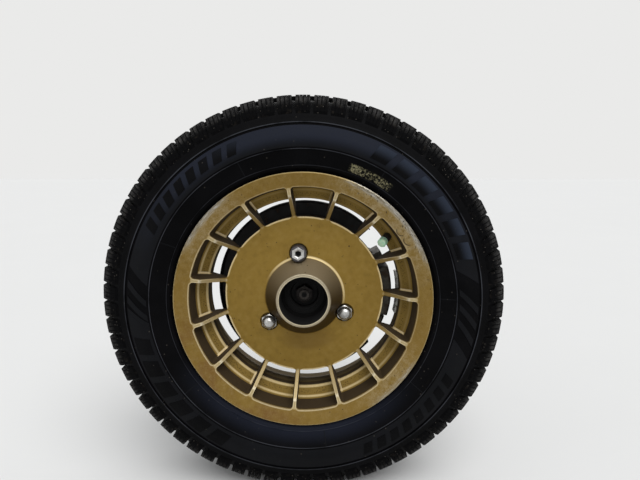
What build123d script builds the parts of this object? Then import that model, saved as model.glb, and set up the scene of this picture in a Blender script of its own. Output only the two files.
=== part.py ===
from build123d import *
from math import asin, atan2, cos, degrees, pi, radians, sin, tan
import os

# Front-left wheel with its hub, brake and steering knuckle.
# Each piece is drawn about the wheel's axis: X to the rear of the car, Y inboard from the
# rim's centre plane, Z up. It is then moved so that the row's origin is the centre of the
# lower ball joint's bore.

# Rim
rim_width = 127.0            # between the inner faces of the two flanges, a 5 inch rim
flange_thickness = 11.0      # from a flange's inner face to the lip's plane
bead_seat_radius = 164.7     # a 13 inch seat
flange_height = 17.5         # from the seat to the lip's edge
bead_seat_drop = 1.3         # fall of the seat from its heel to its toe
bead_seat_width = 20.0
well_drop = 15.7             # drop centre below the seat, on the tyre's side
rim_wall = 5.5
ring_drop = 6.6              # how far the front ring dishes from the lip to the windows

# Spokes, windows and disc of the casting
spoke_count = 15
spoke_turn = -7.0            # first spoke, from straight up towards the rear
spoke_edge = 5.0             # width of a spoke's front edge
spoke_draft = 3.0            # taper of the window walls, in degrees
ring_width = 20.4            # front ring, from the lip's edge to the windows
window_height = 44.8         # from the ring to the disc
window_corner = 5.0
spoke_foot = 1.5             # flat of the disc between the windows before the spoke rises
spoke_kink_inset = 33.2      # from the lip's edge to where the spoke turns down to the disc
spoke_kink_depth = 10.5
disc_edge_depth = 47.5       # depths are measured inboard from the lip's plane
disc_hub_depth = 42.5
disc_back_depth = 57.0
spoke_back_depth = 64.0      # rear edge of a spoke at the barrel
shelf_start_depth = 40.0     # the well's flank, seen through the windows
shelf_end_depth = 50.5
barrel_fillet = 3.0          # between the spokes' rear edges and the barrel
mounting_depth = 59.0        # the face that sits on the brake disc

# Centre boss
boss_base_radius = 57.5
boss_bore_radius = 34.3
boss_wall = 4.2              # at its end
boss_end_depth = 11.0
centre_bore_depth = 48.0     # where the boss's bore steps down to the hub's spigot
spigot_radius = 29.9
spigot_clearance = 0.1

# Fixing
stud_count = 3
stud_circle_radius = 65.0
stud_radius = 6.0
stud_clearance = 0.5
pocket_radius = 14.0
pocket_floor_depth = 50.0
nut_across_flats = 21.0
nut_height = 15.0
nut_dome_height = 6.0

# Tyre, a 175/70 on a 13 inch rim
section_height = 122.8       # from the bead seat to the tread
tyre_overhang = 22.5         # of the widest place beyond the rim's flange
tread_inset = 26.0           # from the widest place to the tread's edge
tread_crown = 3.0            # drop of the tread from its middle to its edge
shoulder_drop = 7.0
ridge_drop = 39.5            # from the tread to the ridge on the side
ridge_inset = 6.0
bulge_lift = 6.9             # of the widest place above the middle of the side
sidewall_thickness = 8.0
tread_thickness = 16.0
tread_pitches = 70
groove_depth = 8.0
rib_half_width = 5.6         # centre rib
inner_groove_width = 3.9     # beside the rib
middle_block_width = 22.0
outer_groove_width = 6.0     # between the middle blocks and the shoulder blocks
shoulder_slot_width = 6.0
middle_slot_width = 5.4
middle_slot_turn = 17.0      # lean of the middle blocks' ends, in degrees
shoulder_block_foot = 27.0   # from the tread to where a shoulder block ends on the side

# Hub and stub axle
hat_thickness = 7.0
stud_margin = 6.0            # of the flange outside the studs
hub_flange_thickness = 10.5
hub_sleeve_radius = 20.0
hub_bore_radius = 12.5
axle_nut_depth = 49.0        # outer face of the axle's nut
axle_nut_flats = 24.0
axle_nut_height = 14.0
axle_thread_radius = 8.0
axle_tip = 2.0               # how far the thread stands out of the nut
washer_thickness = 2.5
washer_radius = 20.0

# Bearing and knuckle
bearing_radius = 32.0
bearing_width = 36.0
bearing_running_fit = 0.05
housing_wall = 14.0
housing_lip = 2.0            # stands over the bearing's outer ring on the wheel's side
housing_tail = 7.0           # beyond the bearing, for its retaining ring
running_gap = 5.0            # between turning pieces and what stands still
shield_thickness = 1.5
shield_rim_gap = 6.5         # between the shield and the rim's neck, so that the wheel comes off over it
shield_hole_clearance = 0.5
backing_face_width = 10.0    # of the ring that the shield is bolted to

# Ball joints and track rod, as the wheel's axis sees them
lower_ball_inset = 66.0
lower_ball_drop = 88.0
lower_ball_bore = 9.0
lower_boss_height = 26.0
upper_ball_inset = 84.0
upper_ball_rise = 98.0
upper_ball_bore = 8.0
upper_boss_height = 24.0
ball_boss_wall = 8.0
clamp_reach = 22.0           # of the clamp's ears, from the bore's axis
clamp_half_width = 12.0
clamp_height = 18.0
clamp_slot = 3.0
pinch_bolt_radius = 4.0
pinch_bolt_wall = 1.0        # between the bore and the bolt's hole
pinch_head_radius = 7.5      # over the corners, of the bolt's head and its nut
pinch_head_height = 5.3
pinch_nut_height = 6.5
spot_face_clearance = 1.0
bolt_clearance = 0.1
rod_reach = 112.0
rod_inset = 76.0
rod_drop = 30.0
rod_bore = 6.5
rod_boss_wall = 7.5
rod_boss_height = 20.0

# Brake
barrel_gap = 10.5            # between the caliper and the inside of the rim
bridge_thickness = 14.0      # of the caliper over the disc's edge
brake_disc_thickness = 12.0
hat_height = 37.5            # from the wheel's mounting face to the friction ring
hat_wall = 5.0
hat_gap = 2.0                # between the hub's flange and the hat
pad_gap = 0.5
lining_thickness = 9.0
pad_plate_thickness = 5.0
lining_margin = 1.5          # of the disc outside the lining
lining_hat_gap = 3.0
caliper_half_angle = 17.0
finger_thickness = 12.0
carrier_gap_angle = 2.0
carrier_leg_angle = 9.0
cylinder_radius = 30.0
cylinder_length = 41.5       # from the inner pad's plate to the cylinder's end
piston_wall = 5.0
cylinder_wall = 6.0
piston_fit = 0.05

# What follows from these
lip_y = -(rim_width / 2 + flange_thickness)
flange_radius = bead_seat_radius + flange_height
well_radius = bead_seat_radius - well_drop
flank_top = bead_seat_radius - bead_seat_drop - rim_wall     # the barrel's inside, by the seats
flank_foot = well_radius - rim_wall                          # and in the well
window_outer = flange_radius - ring_width
window_inner = window_outer - window_height
spoke_kink_radius = flange_radius - spoke_kink_inset
mounting_pad_radius = stud_circle_radius + pocket_radius + 2.0
boss_end_radius = boss_bore_radius + boss_wall
mount_y = lip_y + mounting_depth
hub_face_y = mount_y + hat_thickness
hub_flange_back = hub_face_y + hub_flange_thickness
hub_flange_radius = stud_circle_radius + stud_radius + stud_margin
housing_start = hub_flange_back + running_gap
housing_radius = bearing_radius + housing_wall
backing_face_radius = housing_radius + backing_face_width
bearing_start = housing_start + housing_lip
bearing_end = bearing_start + bearing_width
housing_end = bearing_end + housing_tail
lower_boss_radius = lower_ball_bore + ball_boss_wall
upper_boss_radius = upper_ball_bore + ball_boss_wall
rod_boss_radius = rod_bore + rod_boss_wall
caliper_outer_radius = flank_foot - barrel_gap
bridge_inner_radius = caliper_outer_radius - bridge_thickness
brake_disc_radius = bridge_inner_radius - running_gap
brake_disc_start = mount_y + hat_height
brake_disc_end = brake_disc_start + brake_disc_thickness
hat_radius = hub_flange_radius + hat_gap + hat_wall
lining_inner_radius = hat_radius + lining_hat_gap
lining_outer_radius = brake_disc_radius - lining_margin
cylinder_offset = (lining_inner_radius + lining_outer_radius) / 2
piston_radius = cylinder_radius - cylinder_wall
to_row = Pos(0, -lower_ball_inset, lower_ball_drop)


def depth(distance):
    """Y of a point that lies this far inboard of the lip's plane."""
    return lip_y + distance


def outline(points):
    """Flat outline from rows of (radius, y) or (radius, y, corner radius)."""
    flat = make_face(Polyline(*[point[:2] for point in points], close=True))
    for point in points:
        if len(point) == 3:
            corner = flat.vertices().sort_by_distance((point[0], point[1]))[0]
            flat = fillet(corner, point[2])
    return flat


def turned(points, arc=360.0, start=0.0):
    """Solid of revolution about the wheel's axis. The start angle counts from +X to +Z."""
    solid = revolve(outline(points), axis=Axis.Y, revolution_arc=arc)
    return Rot(0, -start - arc, 0) * solid


def face_plane(y):
    """Plane across the wheel's axis whose normal points inboard."""
    return Plane(origin=(0, y, 0), x_dir=(-1, 0, 0), z_dir=(0, 1, 0))


def on_circle(radius, angle, y):
    """Point at this clock angle, from straight up towards the rear."""
    return (radius * sin(radians(angle)), y, radius * cos(radians(angle)))


def rod_along_y(radius, start, end, x=0.0, z=0.0):
    """Round bar between two values of Y."""
    return Pos(x, 0, z) * extrude(face_plane(start) * Circle(radius), end - start)


def rod_along_z(radius, x, y, low, high):
    """Upright round bar."""
    return Pos(x, y, low) * extrude(Circle(radius), high - low)


def hexagon_along_y(across_flats, start, end):
    """Hexagonal bar between two values of Y."""
    corner_radius = across_flats / 2 / cos(pi / 6)
    return extrude(face_plane(start) * RegularPolygon(corner_radius, 6), end - start)


stud_angles = [spoke_turn + 360.0 / stud_count * k for k in range(stud_count)]


# Cast wheel
def wheel_blank():
    """The whole casting before its windows and holes are cut."""
    half = rim_width / 2
    seat_toe = bead_seat_radius - bead_seat_drop
    return turned([
        (spigot_radius + spigot_clearance, mount_y),
        (spigot_radius + spigot_clearance, depth(centre_bore_depth)),
        (boss_bore_radius, depth(centre_bore_depth - 3.0)),
        (boss_bore_radius, depth(boss_end_depth), 0.8),
        (boss_end_radius, depth(boss_end_depth), 1.5),
        (boss_base_radius, depth(disc_hub_depth), 4.0),
        (window_inner + spoke_foot, depth(disc_edge_depth)),
        (spoke_kink_radius, depth(spoke_kink_depth), 4.0),
        (flange_radius, lip_y, 1.5),
        (flange_radius, lip_y + 5.0, 2.0),
        (flange_radius - 7.0, -half, 5.0),
        (bead_seat_radius, -half, 3.0),
        (seat_toe, -half + bead_seat_width),
        (seat_toe, -half + bead_seat_width + 12.0, 2.0),
        (well_radius, depth(shelf_end_depth + 4.0), 4.0),
        (well_radius, 2.0, 6.0),
        (seat_toe, half - bead_seat_width),
        (bead_seat_radius, half, 3.0),
        (flange_radius - 7.0, half, 5.0),
        (flange_radius, -lip_y - 5.0, 2.0),
        (flange_radius, -lip_y, 1.5),
        (flange_radius - 6.0, -lip_y, 1.0),
        (flank_top + 2.0, half - 3.0, 5.0),
        (flank_top, half - bead_seat_width - 2.0, 6.0),
        (flank_foot, 4.0, 6.0),
        (flank_foot, depth(spoke_back_depth), barrel_fillet),
        (window_inner - 5.0, depth(disc_back_depth), 6.0),
        (mounting_pad_radius + 2.0, depth(disc_back_depth)),
        (mounting_pad_radius, mount_y),
    ])


def window_room():
    """The space that the windows may take: outboard of the well's flank and inside its floor."""
    slope = (shelf_end_depth - shelf_start_depth) / (flank_top - flank_foot)
    reach = flange_radius
    low = window_inner / 2
    return turned([
        (low, lip_y),
        (reach, lip_y),
        (reach, depth(shelf_start_depth - slope * (reach - flank_top))),
        (flank_foot, depth(shelf_end_depth), 3.0),
        (flank_foot, depth(spoke_back_depth + 5.0)),
        (low, depth(spoke_back_depth + 5.0)),
    ])


def window_cutter():
    """One window between two spokes, narrowing towards the back with the casting's draft."""
    front = depth(ring_drop - 3.0)
    back = depth(spoke_back_depth + 3.0)
    slope = tan(radians(spoke_draft))
    fall = (disc_edge_depth - ring_drop + 3.0) * slope
    outer_radius = window_outer + 3.0 * slope
    inner_radius = window_inner - fall
    half_pitch = pi / spoke_count

    def corner(radius, half_width):
        """Corner beside a spoke whose half width there is given."""
        turn = half_pitch - asin(half_width / radius)
        return (radius * sin(turn), radius * cos(turn))

    top = corner(outer_radius, spoke_edge / 2 - 3.0 * slope)
    low = corner(inner_radius, max(spoke_edge / 2 - fall, 0.2))
    edge = (
        ThreePointArc((-top[0], top[1]), (0, outer_radius), top)
        + Line(top, low)
        + ThreePointArc(low, (0, inner_radius), (-low[0], low[1]))
        + Line((-low[0], low[1]), (-top[0], top[1]))
    )
    flat = make_face(edge)
    flat = fillet(flat.vertices(), window_corner)
    return extrude(face_plane(front) * flat, back - front, taper=spoke_draft)


def cast_wheel():
    """One-piece cast wheel: barrel, front ring, spokes, disc and boss."""
    pitch = 360.0 / spoke_count
    window = window_cutter() & window_room()
    holes = [Rot(0, spoke_turn + pitch * (k + 0.5), 0) * window for k in range(spoke_count)]
    for angle in stud_angles:
        x, _, z = on_circle(stud_circle_radius, angle, 0)
        holes.append(rod_along_y(pocket_radius, depth(boss_end_depth - 5.0), depth(pocket_floor_depth), x, z))
        hole_start = depth(pocket_floor_depth) - 1
        holes.append(rod_along_y(stud_radius + stud_clearance, hole_start, mount_y + 1, x, z))
    seam_turn = spoke_turn + pitch / 2 - 90.0
    return Rot(0, seam_turn, 0) * wheel_blank() - holes - valve_seat()


# Tyre
tyre_radius = bead_seat_radius + section_height
tyre_half_width = rim_width / 2 + tyre_overhang
tread_half_width = tyre_half_width - tread_inset
middle_block_start = rib_half_width + inner_groove_width
middle_block_end = middle_block_start + middle_block_width
shoulder_block_start = middle_block_end + outer_groove_width


def crown(y):
    """Radius of the tread's surface at this distance from its middle."""
    return tyre_radius - tread_crown * (y / tread_half_width) ** 2


def tread_slots():
    """Cutters for the slots between the shoulder blocks and between the middle blocks, both sides."""
    pitch = 360.0 / tread_pitches
    floor = tyre_radius - groove_depth
    side = Plane.YZ * make_face(Polyline(
        (shoulder_block_start - 1.0, floor),
        (tread_half_width - 2.0, floor - tread_crown),
        (tread_half_width + 8.0, floor - tread_crown - shoulder_drop),
        (tyre_half_width - ridge_inset, tyre_radius - shoulder_block_foot),
        (tyre_half_width, tyre_radius - shoulder_block_foot),
        (tyre_half_width, tyre_radius + 2.0),
        (shoulder_block_start - 1.0, tyre_radius + 2.0),
        close=True,
    ))
    shoulder_slot = extrude(side, shoulder_slot_width / 2, both=True)
    middle = (middle_block_start + middle_block_end) / 2
    middle_slot = (Pos(0, middle, floor + groove_depth) * Rot(0, 0, -middle_slot_turn)
                   * Box(middle_slot_width, middle_block_width + 3.0, 2 * groove_depth))
    slots = []
    for k in range(tread_pitches):
        shoulder = Rot(0, pitch * (k + 0.5), 0) * shoulder_slot
        slots += [shoulder, mirror(shoulder, about=Plane.XZ)]
        if k % 2 == 0:
            across = Rot(0, pitch * k, 0) * middle_slot
            slots += [across, mirror(across, about=Plane.XZ)]
    return slots


def tyre():
    """Hollow tyre, open on the inside where it sits on the bead seats, with its grooved tread."""
    half = rim_width / 2
    toe = bead_seat_radius - bead_seat_drop
    ridge_radius = tyre_radius - ridge_drop
    bulge_radius = (flange_radius + ridge_radius) / 2 + bulge_lift
    side_round = (ridge_radius - flange_radius) * 0.45
    side = [
        (tyre_radius, 0.0),
        (crown(rib_half_width), rib_half_width),
        (tyre_radius - groove_depth, rib_half_width),
        (tyre_radius - groove_depth, middle_block_start),
        (crown(middle_block_start), middle_block_start),
        (crown((middle_block_start + middle_block_end) / 2), (middle_block_start + middle_block_end) / 2),
        (crown(middle_block_end), middle_block_end),
        (tyre_radius - groove_depth, middle_block_end),
        (tyre_radius - groove_depth, shoulder_block_start),
        (crown(shoulder_block_start), shoulder_block_start),
        (crown((shoulder_block_start + tread_half_width) / 2), (shoulder_block_start + tread_half_width) / 2),
        (tyre_radius - tread_crown, tread_half_width),
        (tyre_radius - tread_crown - shoulder_drop, tread_half_width + 8.0, 5.0),
        (ridge_radius, tyre_half_width - ridge_inset),
        (bulge_radius, tyre_half_width, side_round),
        (flange_radius + 6.0, half + 10.0, 8.0),
        (flange_radius - 4.0, half, 4.0),
        (bead_seat_radius, half, 3.0),
        (toe, half - bead_seat_width),
        (toe + 8.0, half - bead_seat_width + 2.0, 3.0),
        (flange_radius + 6.0, half - 4.0, 10.0),
        (bulge_radius, tyre_half_width - sidewall_thickness, side_round - 5.0),
        (tyre_radius - tread_thickness - 14.0, tread_half_width, 20.0),
        (tyre_radius - tread_thickness, 0.0),
    ]
    half_ring = turned([(p[0], -p[1], *p[2:]) for p in side])
    return half_ring + mirror(half_ring, about=Plane.XZ) - tread_slots()


# Valve and balance weights
valve_angle = 54.0
valve_length = 24.0
valve_radius = 4.6
valve_body_length = 11.0
valve_body_radius = 6.2
valve_neck_length = 3.0
valve_neck_radius = 3.0
valve_cap_radius = 6.8
valve_foot = 9.0             # inside the tyre
valve_lift = 0.25            # of the body's flat foot over the round flank
valve_seat_radius = (flank_top + flank_foot) / 2
valve_seat_depth = (shelf_start_depth + shelf_end_depth) / 2
valve_lean = degrees(atan2(shelf_end_depth - shelf_start_depth, flank_top - flank_foot))


def on_valve(start, end, radius):
    """Round bar on the valve's axis, between two distances from its seat."""
    lean = Rot(valve_lean, 0, 0)
    bar = rod_along_y(radius, -end, -start)
    seat = Pos(0, depth(valve_seat_depth), valve_seat_radius)
    return Rot(0, valve_angle, 0) * (seat * lean * bar)


def valve_seat():
    """Hole for the valve through the well's flank."""
    return on_valve(-12.0, 2.0, valve_radius)


def valve_stem():
    """Rubber-bodied tyre valve."""
    shoulder = valve_body_length + valve_neck_length
    foot = on_valve(-valve_foot, valve_lift, valve_radius)
    body = on_valve(valve_lift, valve_body_length, valve_body_radius)
    neck = on_valve(valve_body_length, shoulder, valve_neck_radius)
    return foot + body + neck


def valve_cap():
    """Ribbed plastic cap."""
    return on_valve(valve_body_length + valve_neck_length, valve_length, valve_cap_radius)


weight_turn = 81.6           # first weight, from straight up towards the rear
weight_pitch = 4.4
weight_count = 6
weight_thickness = 3.2
weight_length = 10.4
weight_width = 18.0


def balance_weights():
    """Stick-on weights in a row on the inside of the barrel."""
    outer = flank_foot
    arc = degrees(weight_length / outer)
    start_y = depth(spoke_back_depth + barrel_fillet + 0.2)
    strip = []
    for k in range(weight_count):
        angle = weight_turn + weight_pitch * k
        strip.append(turned([
            (outer - weight_thickness, start_y),
            (outer, start_y),
            (outer, start_y + weight_width),
            (outer - weight_thickness, start_y + weight_width),
        ], arc, 90.0 - angle))
    return Compound(strip)


# Wheel fixing
def stud_bore(start, end):
    """Room for a stud inside a nut."""
    return rod_along_y(stud_radius, start, end)


def place_on_studs(piece, angles):
    """Copies of a piece on the studs at these clock angles."""
    return [Pos(*on_circle(stud_circle_radius, angle, 0)) * piece for angle in angles]


def domed_nuts():
    """Two plated nuts with domed ends."""
    seat = depth(pocket_floor_depth)
    top = seat - nut_height
    body = hexagon_along_y(nut_across_flats, top, seat)
    dome = turned([(0, top - nut_dome_height), (nut_across_flats / 2 - 1.0, top - nut_dome_height, 5.0),
                   (nut_across_flats / 2 - 1.0, top + 1.0), (0, top + 1.0)])
    nut = body + dome - stud_bore(top + 3.0, seat)
    return Compound(place_on_studs(nut, stud_angles[1:]))


def locking_nut():
    """Round locking nut with a hexagon socket in its end."""
    seat = depth(pocket_floor_depth)
    top = seat - nut_height - nut_dome_height
    nut = rod_along_y(12.0, top, seat) - hexagon_along_y(12.0, top, top + 6.0) - stud_bore(top + 8.0, seat)
    return place_on_studs(nut, stud_angles[:1])[0]


def wheel_studs():
    """Studs pressed through the hub's flange."""
    seat = depth(pocket_floor_depth)
    stud = rod_along_y(stud_radius, seat - 11.0, hub_flange_back + 3.0)
    return Compound(place_on_studs(stud, stud_angles))


# Hub and brake disc
axle_seat_y = depth(axle_nut_depth) + axle_nut_height + washer_thickness
sleeve_end_y = bearing_end + 5.0


def hub():
    """Flanged hub with the spigot that centres the wheel and the sleeve in the bearing."""
    spigot_end = depth(centre_bore_depth) + 2.0
    body = turned([
        (hub_bore_radius, axle_seat_y),
        (washer_radius + 2.0, axle_seat_y),
        (washer_radius + 2.0, spigot_end, 1.0),
        (spigot_radius, spigot_end, 1.0),
        (spigot_radius, hub_face_y),
        (hub_flange_radius, hub_face_y, 1.0),
        (hub_flange_radius, hub_flange_back, 2.0),
        (38.0, hub_flange_back, 3.0),
        (26.0, housing_start + 1.0),
        (hub_sleeve_radius, housing_start + 1.0),
        (hub_sleeve_radius, sleeve_end_y, 1.0),
        (hub_bore_radius, sleeve_end_y),
    ])
    for angle in stud_angles:
        x, _, z = on_circle(stud_circle_radius, angle, 0)
        body -= rod_along_y(stud_radius, hub_face_y - 1, hub_flange_back + 1, x, z)
    return body


def brake_disc():
    """Solid brake disc, its hat clamped between wheel and hub."""
    disc = turned([
        (spigot_radius + spigot_clearance, mount_y),
        (hat_radius, mount_y, 2.0),
        (hat_radius, brake_disc_start, 2.0),
        (brake_disc_radius, brake_disc_start, 1.0),
        (brake_disc_radius, brake_disc_end, 1.0),
        (hat_radius - hat_wall, brake_disc_end, 1.0),
        (hat_radius - hat_wall, hub_face_y, 3.0),
        (spigot_radius + spigot_clearance, hub_face_y),
    ])
    for angle in stud_angles:
        x, _, z = on_circle(stud_circle_radius, angle, 0)
        disc -= rod_along_y(stud_radius + stud_clearance, mount_y - 1, hub_face_y + 1, x, z)
    return disc


def axle_washer():
    """Thick washer under the axle's nut."""
    front = axle_seat_y - washer_thickness
    return turned([(axle_thread_radius, front), (washer_radius, front),
                   (washer_radius, axle_seat_y), (axle_thread_radius, axle_seat_y)])


def axle_nut():
    """Hexagon nut on the stub axle."""
    start = depth(axle_nut_depth)
    end = start + axle_nut_height
    return hexagon_along_y(axle_nut_flats, start, end) - rod_along_y(axle_thread_radius, start - 1, end + 1)


# Outer drive joint
joint_radius = 40.0
joint_start = housing_end + 6.0
joint_length = 42.0
joint_end = joint_start + joint_length
joint_wall = 5.0
ball_count = 6
ball_radius = 8.0
ball_circle = 26.5
joint_middle = joint_end - 16.0
race_radius = 22.0
shaft_bore_radius = 11.5
race_half_width = 11.0


def ball_bores(depth_low, depth_high):
    """Grooves for the balls, along the axis."""
    return [rod_along_y(ball_radius, depth_low, depth_high, ball_circle * cos(2 * pi * k / ball_count),
                        ball_circle * sin(2 * pi * k / ball_count)) for k in range(ball_count)]


def drive_joint():
    """Bell of the outer drive joint with its stub axle."""
    tip = depth(axle_nut_depth) - axle_tip
    body = turned([
        (0, tip),
        (axle_thread_radius, tip, 1.0),
        (axle_thread_radius, axle_seat_y),
        (hub_bore_radius, axle_seat_y),
        (hub_bore_radius, sleeve_end_y),
        (19.0, sleeve_end_y),
        (19.0, joint_start, 3.0),
        (joint_radius, joint_start + 9.0, 4.0),
        (joint_radius, joint_end, 1.0),
        (joint_radius - joint_wall - 4.0, joint_end),
        (joint_radius - joint_wall - 4.0, joint_start + 14.0, 4.0),
        (0, joint_start + 10.0),
    ])
    for groove in ball_bores(joint_middle - 12.0, joint_end + 1):
        body -= groove
    return body


def joint_race():
    """Inner race of the drive joint, with the bore that takes the drive shaft."""
    race = turned([
        (shaft_bore_radius, joint_middle - race_half_width),
        (race_radius, joint_middle - race_half_width, 3.0),
        (race_radius, joint_middle + race_half_width, 3.0),
        (shaft_bore_radius, joint_middle + race_half_width),
    ])
    for groove in ball_bores(joint_middle - race_half_width - 1, joint_middle + race_half_width + 1):
        race -= groove
    return race


def joint_balls():
    """Balls between the bell and the race."""
    balls = []
    for k in range(ball_count):
        turn = 2 * pi * k / ball_count
        place = Pos(ball_circle * cos(turn), joint_middle, ball_circle * sin(turn))
        balls.append(place * Sphere(ball_radius))
    return Compound(balls)


# Knuckle
def bearing():
    """Sealed double-row bearing, pressed into the knuckle."""
    return turned([
        (hub_sleeve_radius + bearing_running_fit, bearing_start),
        (bearing_radius, bearing_start, 1.0),
        (bearing_radius, bearing_end, 1.0),
        (hub_sleeve_radius + bearing_running_fit, bearing_end),
    ])


shield_y = brake_disc_end + running_gap + 0.5
backing_y = shield_y + shield_thickness
pad_half_angle = caliper_half_angle + carrier_gap_angle
ear_inset = 30.0             # of the carrier's bolts, from the brake disc's edge
ear_circle = brake_disc_radius - ear_inset
ear_radius = 13.0
ear_bolt_radius = 6.0
ear_angle = pad_half_angle + carrier_leg_angle + degrees(ear_radius / ear_circle) + 1.0
ear_x = ear_circle * cos(radians(ear_angle))
ear_z = ear_circle * sin(radians(ear_angle))


def side_bar(points, half_thickness):
    """Bar with this outline in (y, z), of even thickness along X."""
    flat = make_face(Polyline(*[(y, z) for y, z in points], close=True))
    return extrude(Plane.YZ * flat, half_thickness, both=True)


def bearing_housing():
    """Ring round the bearing, with the face that the splash shield is bolted to."""
    relief = 1.0
    lip_radius = bearing_radius - 4.0
    return turned([
        (lip_radius, housing_start),
        (housing_radius, housing_start, 2.0),
        (housing_radius, backing_y, 0.4),
        (backing_face_radius, backing_y, 1.0),
        (backing_face_radius, housing_end, 3.0),
        (bearing_radius + relief, housing_end, 1.0),
        (bearing_radius + relief, bearing_end + relief),
        (bearing_radius, bearing_end + relief),
        (bearing_radius, bearing_start),
        (lip_radius, bearing_start),
    ])


def lower_arm():
    """Web from the housing down to the lower ball joint."""
    low = -lower_ball_drop
    return side_bar([
        (backing_y + 1.0, -housing_radius - 2.0),
        (housing_end + 1.0, -housing_radius - 2.0),
        (lower_ball_inset, low + 10.0),
        (lower_ball_inset, low - 10.0),
        (lower_ball_inset - 8.0, low - 10.0),
        (backing_y + 1.0, -housing_radius - 16.0),
    ], 15.0)


def upper_arm():
    """Web from the housing up to the upper ball joint."""
    high = upper_ball_rise
    return side_bar([
        (backing_y + 1.0, housing_radius - 2.0),
        (housing_end, housing_radius + 2.0),
        (upper_ball_inset, high - 10.0),
        (upper_ball_inset, high + 8.0),
        (upper_ball_inset - 12.0, high + 6.0),
        (backing_y + 1.0, housing_radius + 14.0),
    ], 13.0)


def steering_arm():
    """Arm forward to the track rod's end."""
    flat = make_face(Polyline(
        (-housing_radius + 6.0, backing_y + 1.0),
        (-housing_radius + 6.0, housing_end + 6.0),
        (-rod_reach, rod_inset + 10.0),
        (-rod_reach, rod_inset - 10.0),
        (-housing_radius - 14.0, backing_y + 1.0),
        close=True,
    ))
    return Pos(0, 0, -rod_drop) * extrude(flat, 7.0, both=True)


def clamp_body(inset, height, boss_radius, boss_height):
    """Round boss with two ears on its inboard side, which a pinch bolt draws together."""
    boss = rod_along_z(boss_radius, 0, inset, height - boss_height / 2, height + boss_height / 2)
    ears = Pos(0, inset + clamp_reach / 2, height) * Box(2 * clamp_half_width, clamp_reach, clamp_height)
    return boss + fillet(ears.edges().filter_by(Axis.X), 4.0)


def clamp_room(inset, height, bore, boss_radius, boss_height):
    """The clamp's bore, its slot, the bolt's hole and spot faces, and the room over both ends of the boss."""
    end = boss_height / 2
    reach = clamp_reach + 1.0
    spot_radius = pinch_head_radius + spot_face_clearance
    return [
        rod_along_z(bore, 0, inset, height - end - 1.0, height + end + 1.0),
        rod_along_z(boss_radius, 0, inset, height + end, height + end + boss_height),
        rod_along_z(boss_radius, 0, inset, height - end - boss_height, height - end),
        Pos(0, inset + reach / 2, height) * Box(clamp_slot, reach, boss_height + 2.0),
        pinch_bar(inset, height, bore, pinch_bolt_radius + bolt_clearance, -clamp_half_width - 1.0,
                  clamp_half_width + 1.0),
        pinch_bar(inset, height, bore, spot_radius, clamp_half_width, clamp_half_width + boss_radius),
        pinch_bar(inset, height, bore, spot_radius, -clamp_half_width - boss_radius, -clamp_half_width),
    ]


def pinch_bar(inset, height, bore, radius, start, end):
    """Round bar along X, just inboard of a clamp's bore."""
    y = inset + bore + pinch_bolt_radius + pinch_bolt_wall
    return Pos(start, y, height) * Rot(0, 90, 0) * extrude(Circle(radius), end - start)


def pinch_bolts():
    """Bolts that close the two ball joint clamps."""
    bolts = []
    for inset, height, bore in ((lower_ball_inset, -lower_ball_drop, lower_ball_bore),
                                (upper_ball_inset, upper_ball_rise, upper_ball_bore)):
        shank = pinch_bar(inset, height, bore, pinch_bolt_radius, -clamp_half_width - pinch_nut_height,
                          clamp_half_width)
        y = inset + bore + pinch_bolt_radius + pinch_bolt_wall
        corners = RegularPolygon(pinch_head_radius, 6)
        head = Pos(clamp_half_width, y, height) * Rot(0, 90, 0) * extrude(corners, pinch_head_height)
        nut_start = Pos(-clamp_half_width - pinch_nut_height, y, height)
        nut = nut_start * Rot(0, 90, 0) * extrude(corners, pinch_nut_height)
        bolts.append(shank + head + nut)
    return Compound(bolts)


def knuckle():
    """Steering knuckle: bearing housing, two ball joint clamps, steering arm, carrier ears."""
    low = -lower_ball_drop
    high = upper_ball_rise
    body = bearing_housing() + lower_arm() + upper_arm() + steering_arm()
    body += rod_along_z(rod_boss_radius, -rod_reach, rod_inset,
                        -rod_drop - rod_boss_height / 2, -rod_drop + rod_boss_height / 2)
    for side in (-1, 1):
        body += rod_along_y(ear_radius, backing_y, housing_end, ear_x, side * ear_z)
        web = make_face(Polyline((housing_radius - 16.0, side * 12.0), (ear_x + 6.0, side * (ear_z - 10.0)),
                                 (ear_x - 6.0, side * (ear_z + 11.0)),
                                 (housing_radius - 22.0, side * (housing_radius + 2.0)), close=True))
        body += extrude(Plane(origin=(0, housing_end, 0), x_dir=(1, 0, 0), z_dir=(0, -1, 0)) * web,
                        housing_end - backing_y)
        body -= rod_along_y(ear_bolt_radius + bolt_clearance, backing_y - 1, housing_end + 1,
                            ear_x, side * ear_z)
    body += clamp_body(lower_ball_inset, low, lower_boss_radius, lower_boss_height)
    body += clamp_body(upper_ball_inset, high, upper_boss_radius, upper_boss_height)
    body -= rod_along_y(bearing_radius, bearing_start, housing_end + 1)
    body -= rod_along_z(rod_bore, -rod_reach, rod_inset,
                        -rod_drop - rod_boss_height, -rod_drop + rod_boss_height)
    body -= clamp_room(lower_ball_inset, low, lower_ball_bore, lower_boss_radius, lower_boss_height)
    body -= clamp_room(upper_ball_inset, high, upper_ball_bore, upper_boss_radius, upper_boss_height)
    return body


shield_radius = flank_foot - shield_rim_gap
shield_lip_start = brake_disc_start + 4.0


def splash_shield():
    """Pressed shield behind the brake disc, open where the caliper sits."""
    t = shield_thickness
    gap = 42.0
    return turned([
        (housing_radius + shield_hole_clearance, shield_y),
        (shield_radius - t, shield_y, 3.0),
        (shield_radius - t, shield_lip_start),
        (shield_radius, shield_lip_start),
        (shield_radius, shield_y + t, 4.5),
        (housing_radius + shield_hole_clearance, shield_y + t),
    ], 360.0 - 2 * gap, gap)


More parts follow.
